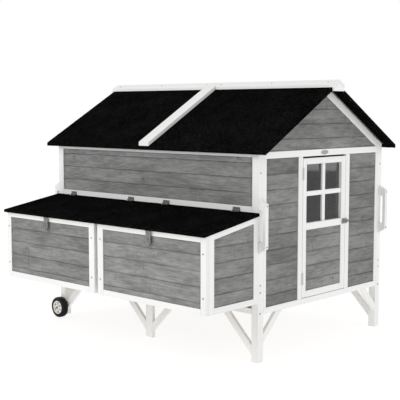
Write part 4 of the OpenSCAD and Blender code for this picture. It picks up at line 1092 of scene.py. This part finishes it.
class Tyre:
    """A moulded tyre round a node's middle, with ribs and cut shoulders."""

    blocks = 36
    # Stops along one block as (share of its pitch, whether the shoulders are cut there)
    stops = [(0, False), (0.36, False), (0.70, False), (0.74, True), (0.96, True)]
    # The middle rib's share of the half width, half of a groove, and the flat share of its floor
    rib = 0.34
    groove = 0.0012
    groove_floor = 0.6
    # How far the tread has dropped beside the groove and at its uncut shoulder
    crown_drop = 0.0004
    shoulder_drop = 0.0006
    # Points as (distance below the shoulder, below the tread or above the rim, share of half width)
    shoulder = [(0, 0.66), (0.0022, 0.82), (0.0075, 0.95)]
    wall = [(0.0125, 0.985), (0.014, 0.985), (0.0145, 1), (0.018, 1)]
    bead = [(0.001, 0.96), (0, 0.94)]

    def __init__(self, node, rim_node, depth):
        low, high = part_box(node)
        rim_low, rim_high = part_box(rim_node)
        self.middle = (low + high) / 2
        self.radius = (high.z - low.z) / 2
        self.half = (high.y - low.y) / 2
        self.seat = (rim_high.z - rim_low.z) / 2
        self.depth = depth

    def section(self, cut):
        """Section as (radius, across) points; cut lowers the shoulders."""
        full = self.radius
        low = full - self.depth
        edge = low if cut else full - self.shoulder_drop
        rib = self.rib * self.half
        floor = self.groove_floor * self.groove
        half = [(full, 0), (full, rib - self.groove), (low, rib - floor), (low, rib + floor),
                (full - self.crown_drop, rib + self.groove)]
        half += [(edge - drop, share * self.half) for drop, share in self.shoulder]
        half += [(full - drop, share * self.half) for drop, share in self.wall]
        half += [(self.seat + rise, share * self.half) for rise, share in self.bead]
        left = [(radius, -across) for radius, across in reversed(half)]
        return left + half[1:]

    def build(self, bm):
        """Adds the tyre to a mesh."""
        pitch = 2 * math.pi / self.blocks
        rows = []
        for block in range(self.blocks):
            for share, cut in self.stops:
                turn = (block + share) * pitch
                spoke = Vector((math.cos(turn), 0, math.sin(turn)))
                rows.append([bm.verts.new(self.middle + spoke * radius + Vector((0, across, 0)))
                             for radius, across in self.section(cut)])
        for row, following in zip(rows, rows[1:] + rows[:1]):
            join_rows(bm, row, following)


class HENHOUSE_OT_wheels(bpy.types.Operator):
    """Moulds the tyres and finishes the rims"""

    bl_idname = "henhouse.wheels"
    bl_label = "Wheels"

    def execute(self, context):
        sizes = context.scene.hen_house_sizes
        for tyre, rim in zip(TYRES, RIMS):
            bm = bmesh.new()
            Tyre(tyre, rim, sizes.tread_depth).build(bm)
            solid_piece(tyre, "_moulded", bm, "tyre")
            solid_piece(rim, "_moulded", eased(solids_of(rim), sizes.rim_ease), "rim")
        return {"FINISHED"}


def soft_lamp(name, place, aim, size, power):
    """A large square lamp that looks at a point."""
    lamp = bpy.data.lights.new(name, "AREA")
    lamp.shape = "SQUARE"
    lamp.size = size
    lamp.energy = power
    holder = bpy.data.objects.new(name, lamp)
    holder.matrix_world = Matrix.Translation(place) @ facing(Vector(place) - Vector(aim))
    bpy.context.scene.collection.objects.link(holder)


class HENHOUSE_OT_stage(bpy.types.Operator):
    """Sets the pale floor, the soft lamps, the white surround and the camera"""

    bl_idname = "henhouse.stage"
    bl_label = "Stage"

    def execute(self, context):
        stage = context.scene.hen_house_stage
        self.lay_floor(stage, context.scene.hen_house_colours.floor)
        self.light_surround(context.scene, stage)
        middle = (cad_box[0] + cad_box[1]) / 2
        soft_lamp("key_lamp", stage.key_place, middle, stage.lamp_size, stage.key)
        soft_lamp("fill_lamp", stage.fill_place, middle, stage.lamp_size, stage.fill)
        self.place_camera(context.scene, stage)
        context.scene.view_settings.view_transform = "Standard"
        return {"FINISHED"}

    def lay_floor(self, stage, rgb):
        """A wide floor that stays white in the picture and keeps the shadow."""
        finish = Finish("studio_floor")
        ray = finish.add("LightPath", {}).outputs
        seen = finish.reckon("MAXIMUM", ray["Is Camera Ray"], ray["Is Transmission Ray"])
        upward = finish.by_path(seen, stage.table_light, stage.table_seen)
        glow = finish.by_path(ray["Is Glossy Ray"], upward, stage.table_mirrored)
        finish.set_skin(Base_Color=opaque(rgb), Roughness=0.9, Specular_IOR_Level=0.0,
                        Emission_Color=WHITE, Emission_Strength=glow)
        bm = bmesh.new()
        bmesh.ops.create_circle(bm, cap_ends=True, segments=FLOOR_SIDES, radius=stage.floor_radius)
        bmesh.ops.translate(bm, verts=bm.verts, vec=(0, 0, -FLOOR_GAP))
        floor = new_piece("studio_floor", bm, finish.material)

    def light_surround(self, scene, stage):
        """Even light from all around, white where it is seen."""
        scene.world = bpy.data.worlds.new("surround")
        scene.world.use_nodes = True
        sky = NodeTree(scene.world.node_tree)
        ray = sky.add("LightPath", {}).outputs
        seen = sky.reckon("MAXIMUM", ray["Is Camera Ray"], ray["Is Glossy Ray"])
        seen = sky.reckon("MAXIMUM", seen, ray["Is Transmission Ray"])
        background = sky.tree.nodes["Background"].inputs
        sky.join(background["Color"], WHITE)
        sky.join(background["Strength"], sky.by_path(seen, stage.sky, 1.0))

    def place_camera(self, scene, stage):
        """The camera at the photograph's viewing angle."""
        turn = stage.camera_azimuth
        drop = stage.camera_drop
        ahead = Vector((-math.sin(turn) * math.cos(drop), math.cos(turn) * math.cos(drop),
                        -math.sin(drop)))
        side = Vector((math.cos(turn), math.sin(turn), 0))
        axes = Matrix((side, side.cross(ahead), -ahead)).transposed().to_4x4()
        camera = bpy.data.cameras.new("camera")
        camera.sensor_width = PICTURE_WIDTH
        camera.lens = stage.camera_lens
        holder = bpy.data.objects.new("camera", camera)
        holder.matrix_world = Matrix.Translation(stage.camera_place) @ axes
        scene.collection.objects.link(holder)
        scene.camera = holder


class HENHOUSE_PT_finish(bpy.types.Panel):
    """Lists the steps of the finish and the sizes and colours they use"""

    bl_idname = "HENHOUSE_PT_finish"
    bl_label = "Hen house finish"
    bl_space_type = "VIEW_3D"
    bl_region_type = "UI"
    bl_category = "Hen house"

    def draw(self, context):
        for step in STEPS:
            self.layout.operator(step.bl_idname)
        for group in GROUPS:
            values = getattr(context.scene, group)
            box = self.layout.box()
            for name in values.__annotations__:
                box.prop(values, name)


STEPS = (HENHOUSE_OT_white_timber, HENHOUSE_OT_grey_boards, HENHOUSE_OT_plain_timber,
         HENHOUSE_OT_felt, HENHOUSE_OT_steel, HENHOUSE_OT_screws, HENHOUSE_OT_plate,
         HENHOUSE_OT_pane, HENHOUSE_OT_wheels, HENHOUSE_OT_stage)
GROUPS = {"hen_house_sizes": HenHouseSizes, "hen_house_colours": HenHouseColours,
          "hen_house_stage": HenHouseStage}


def register():
    """Makes the values, the steps and the panel known to Blender."""
    for name, group in GROUPS.items():
        bpy.utils.register_class(group)
        setattr(bpy.types.Scene, name, bpy.props.PointerProperty(type=group))
    for step in STEPS:
        bpy.utils.register_class(step)
    bpy.utils.register_class(HENHOUSE_PT_finish)


def unregister():
    """Takes the panel, the steps and the values away again."""
    bpy.utils.unregister_class(HENHOUSE_PT_finish)
    for step in reversed(STEPS):
        bpy.utils.unregister_class(step)
    for name, group in reversed(GROUPS.items()):
        delattr(bpy.types.Scene, name)
        bpy.utils.unregister_class(group)


def main():
    """Runs every step in order."""
    register()
    bpy.ops.henhouse.white_timber()
    bpy.ops.henhouse.grey_boards()
    bpy.ops.henhouse.plain_timber()
    bpy.ops.henhouse.felt()
    bpy.ops.henhouse.steel()
    bpy.ops.henhouse.screws()
    bpy.ops.henhouse.plate()
    bpy.ops.henhouse.pane()
    bpy.ops.henhouse.wheels()
    bpy.ops.henhouse.stage()


if __name__ == "__main__":
    main()
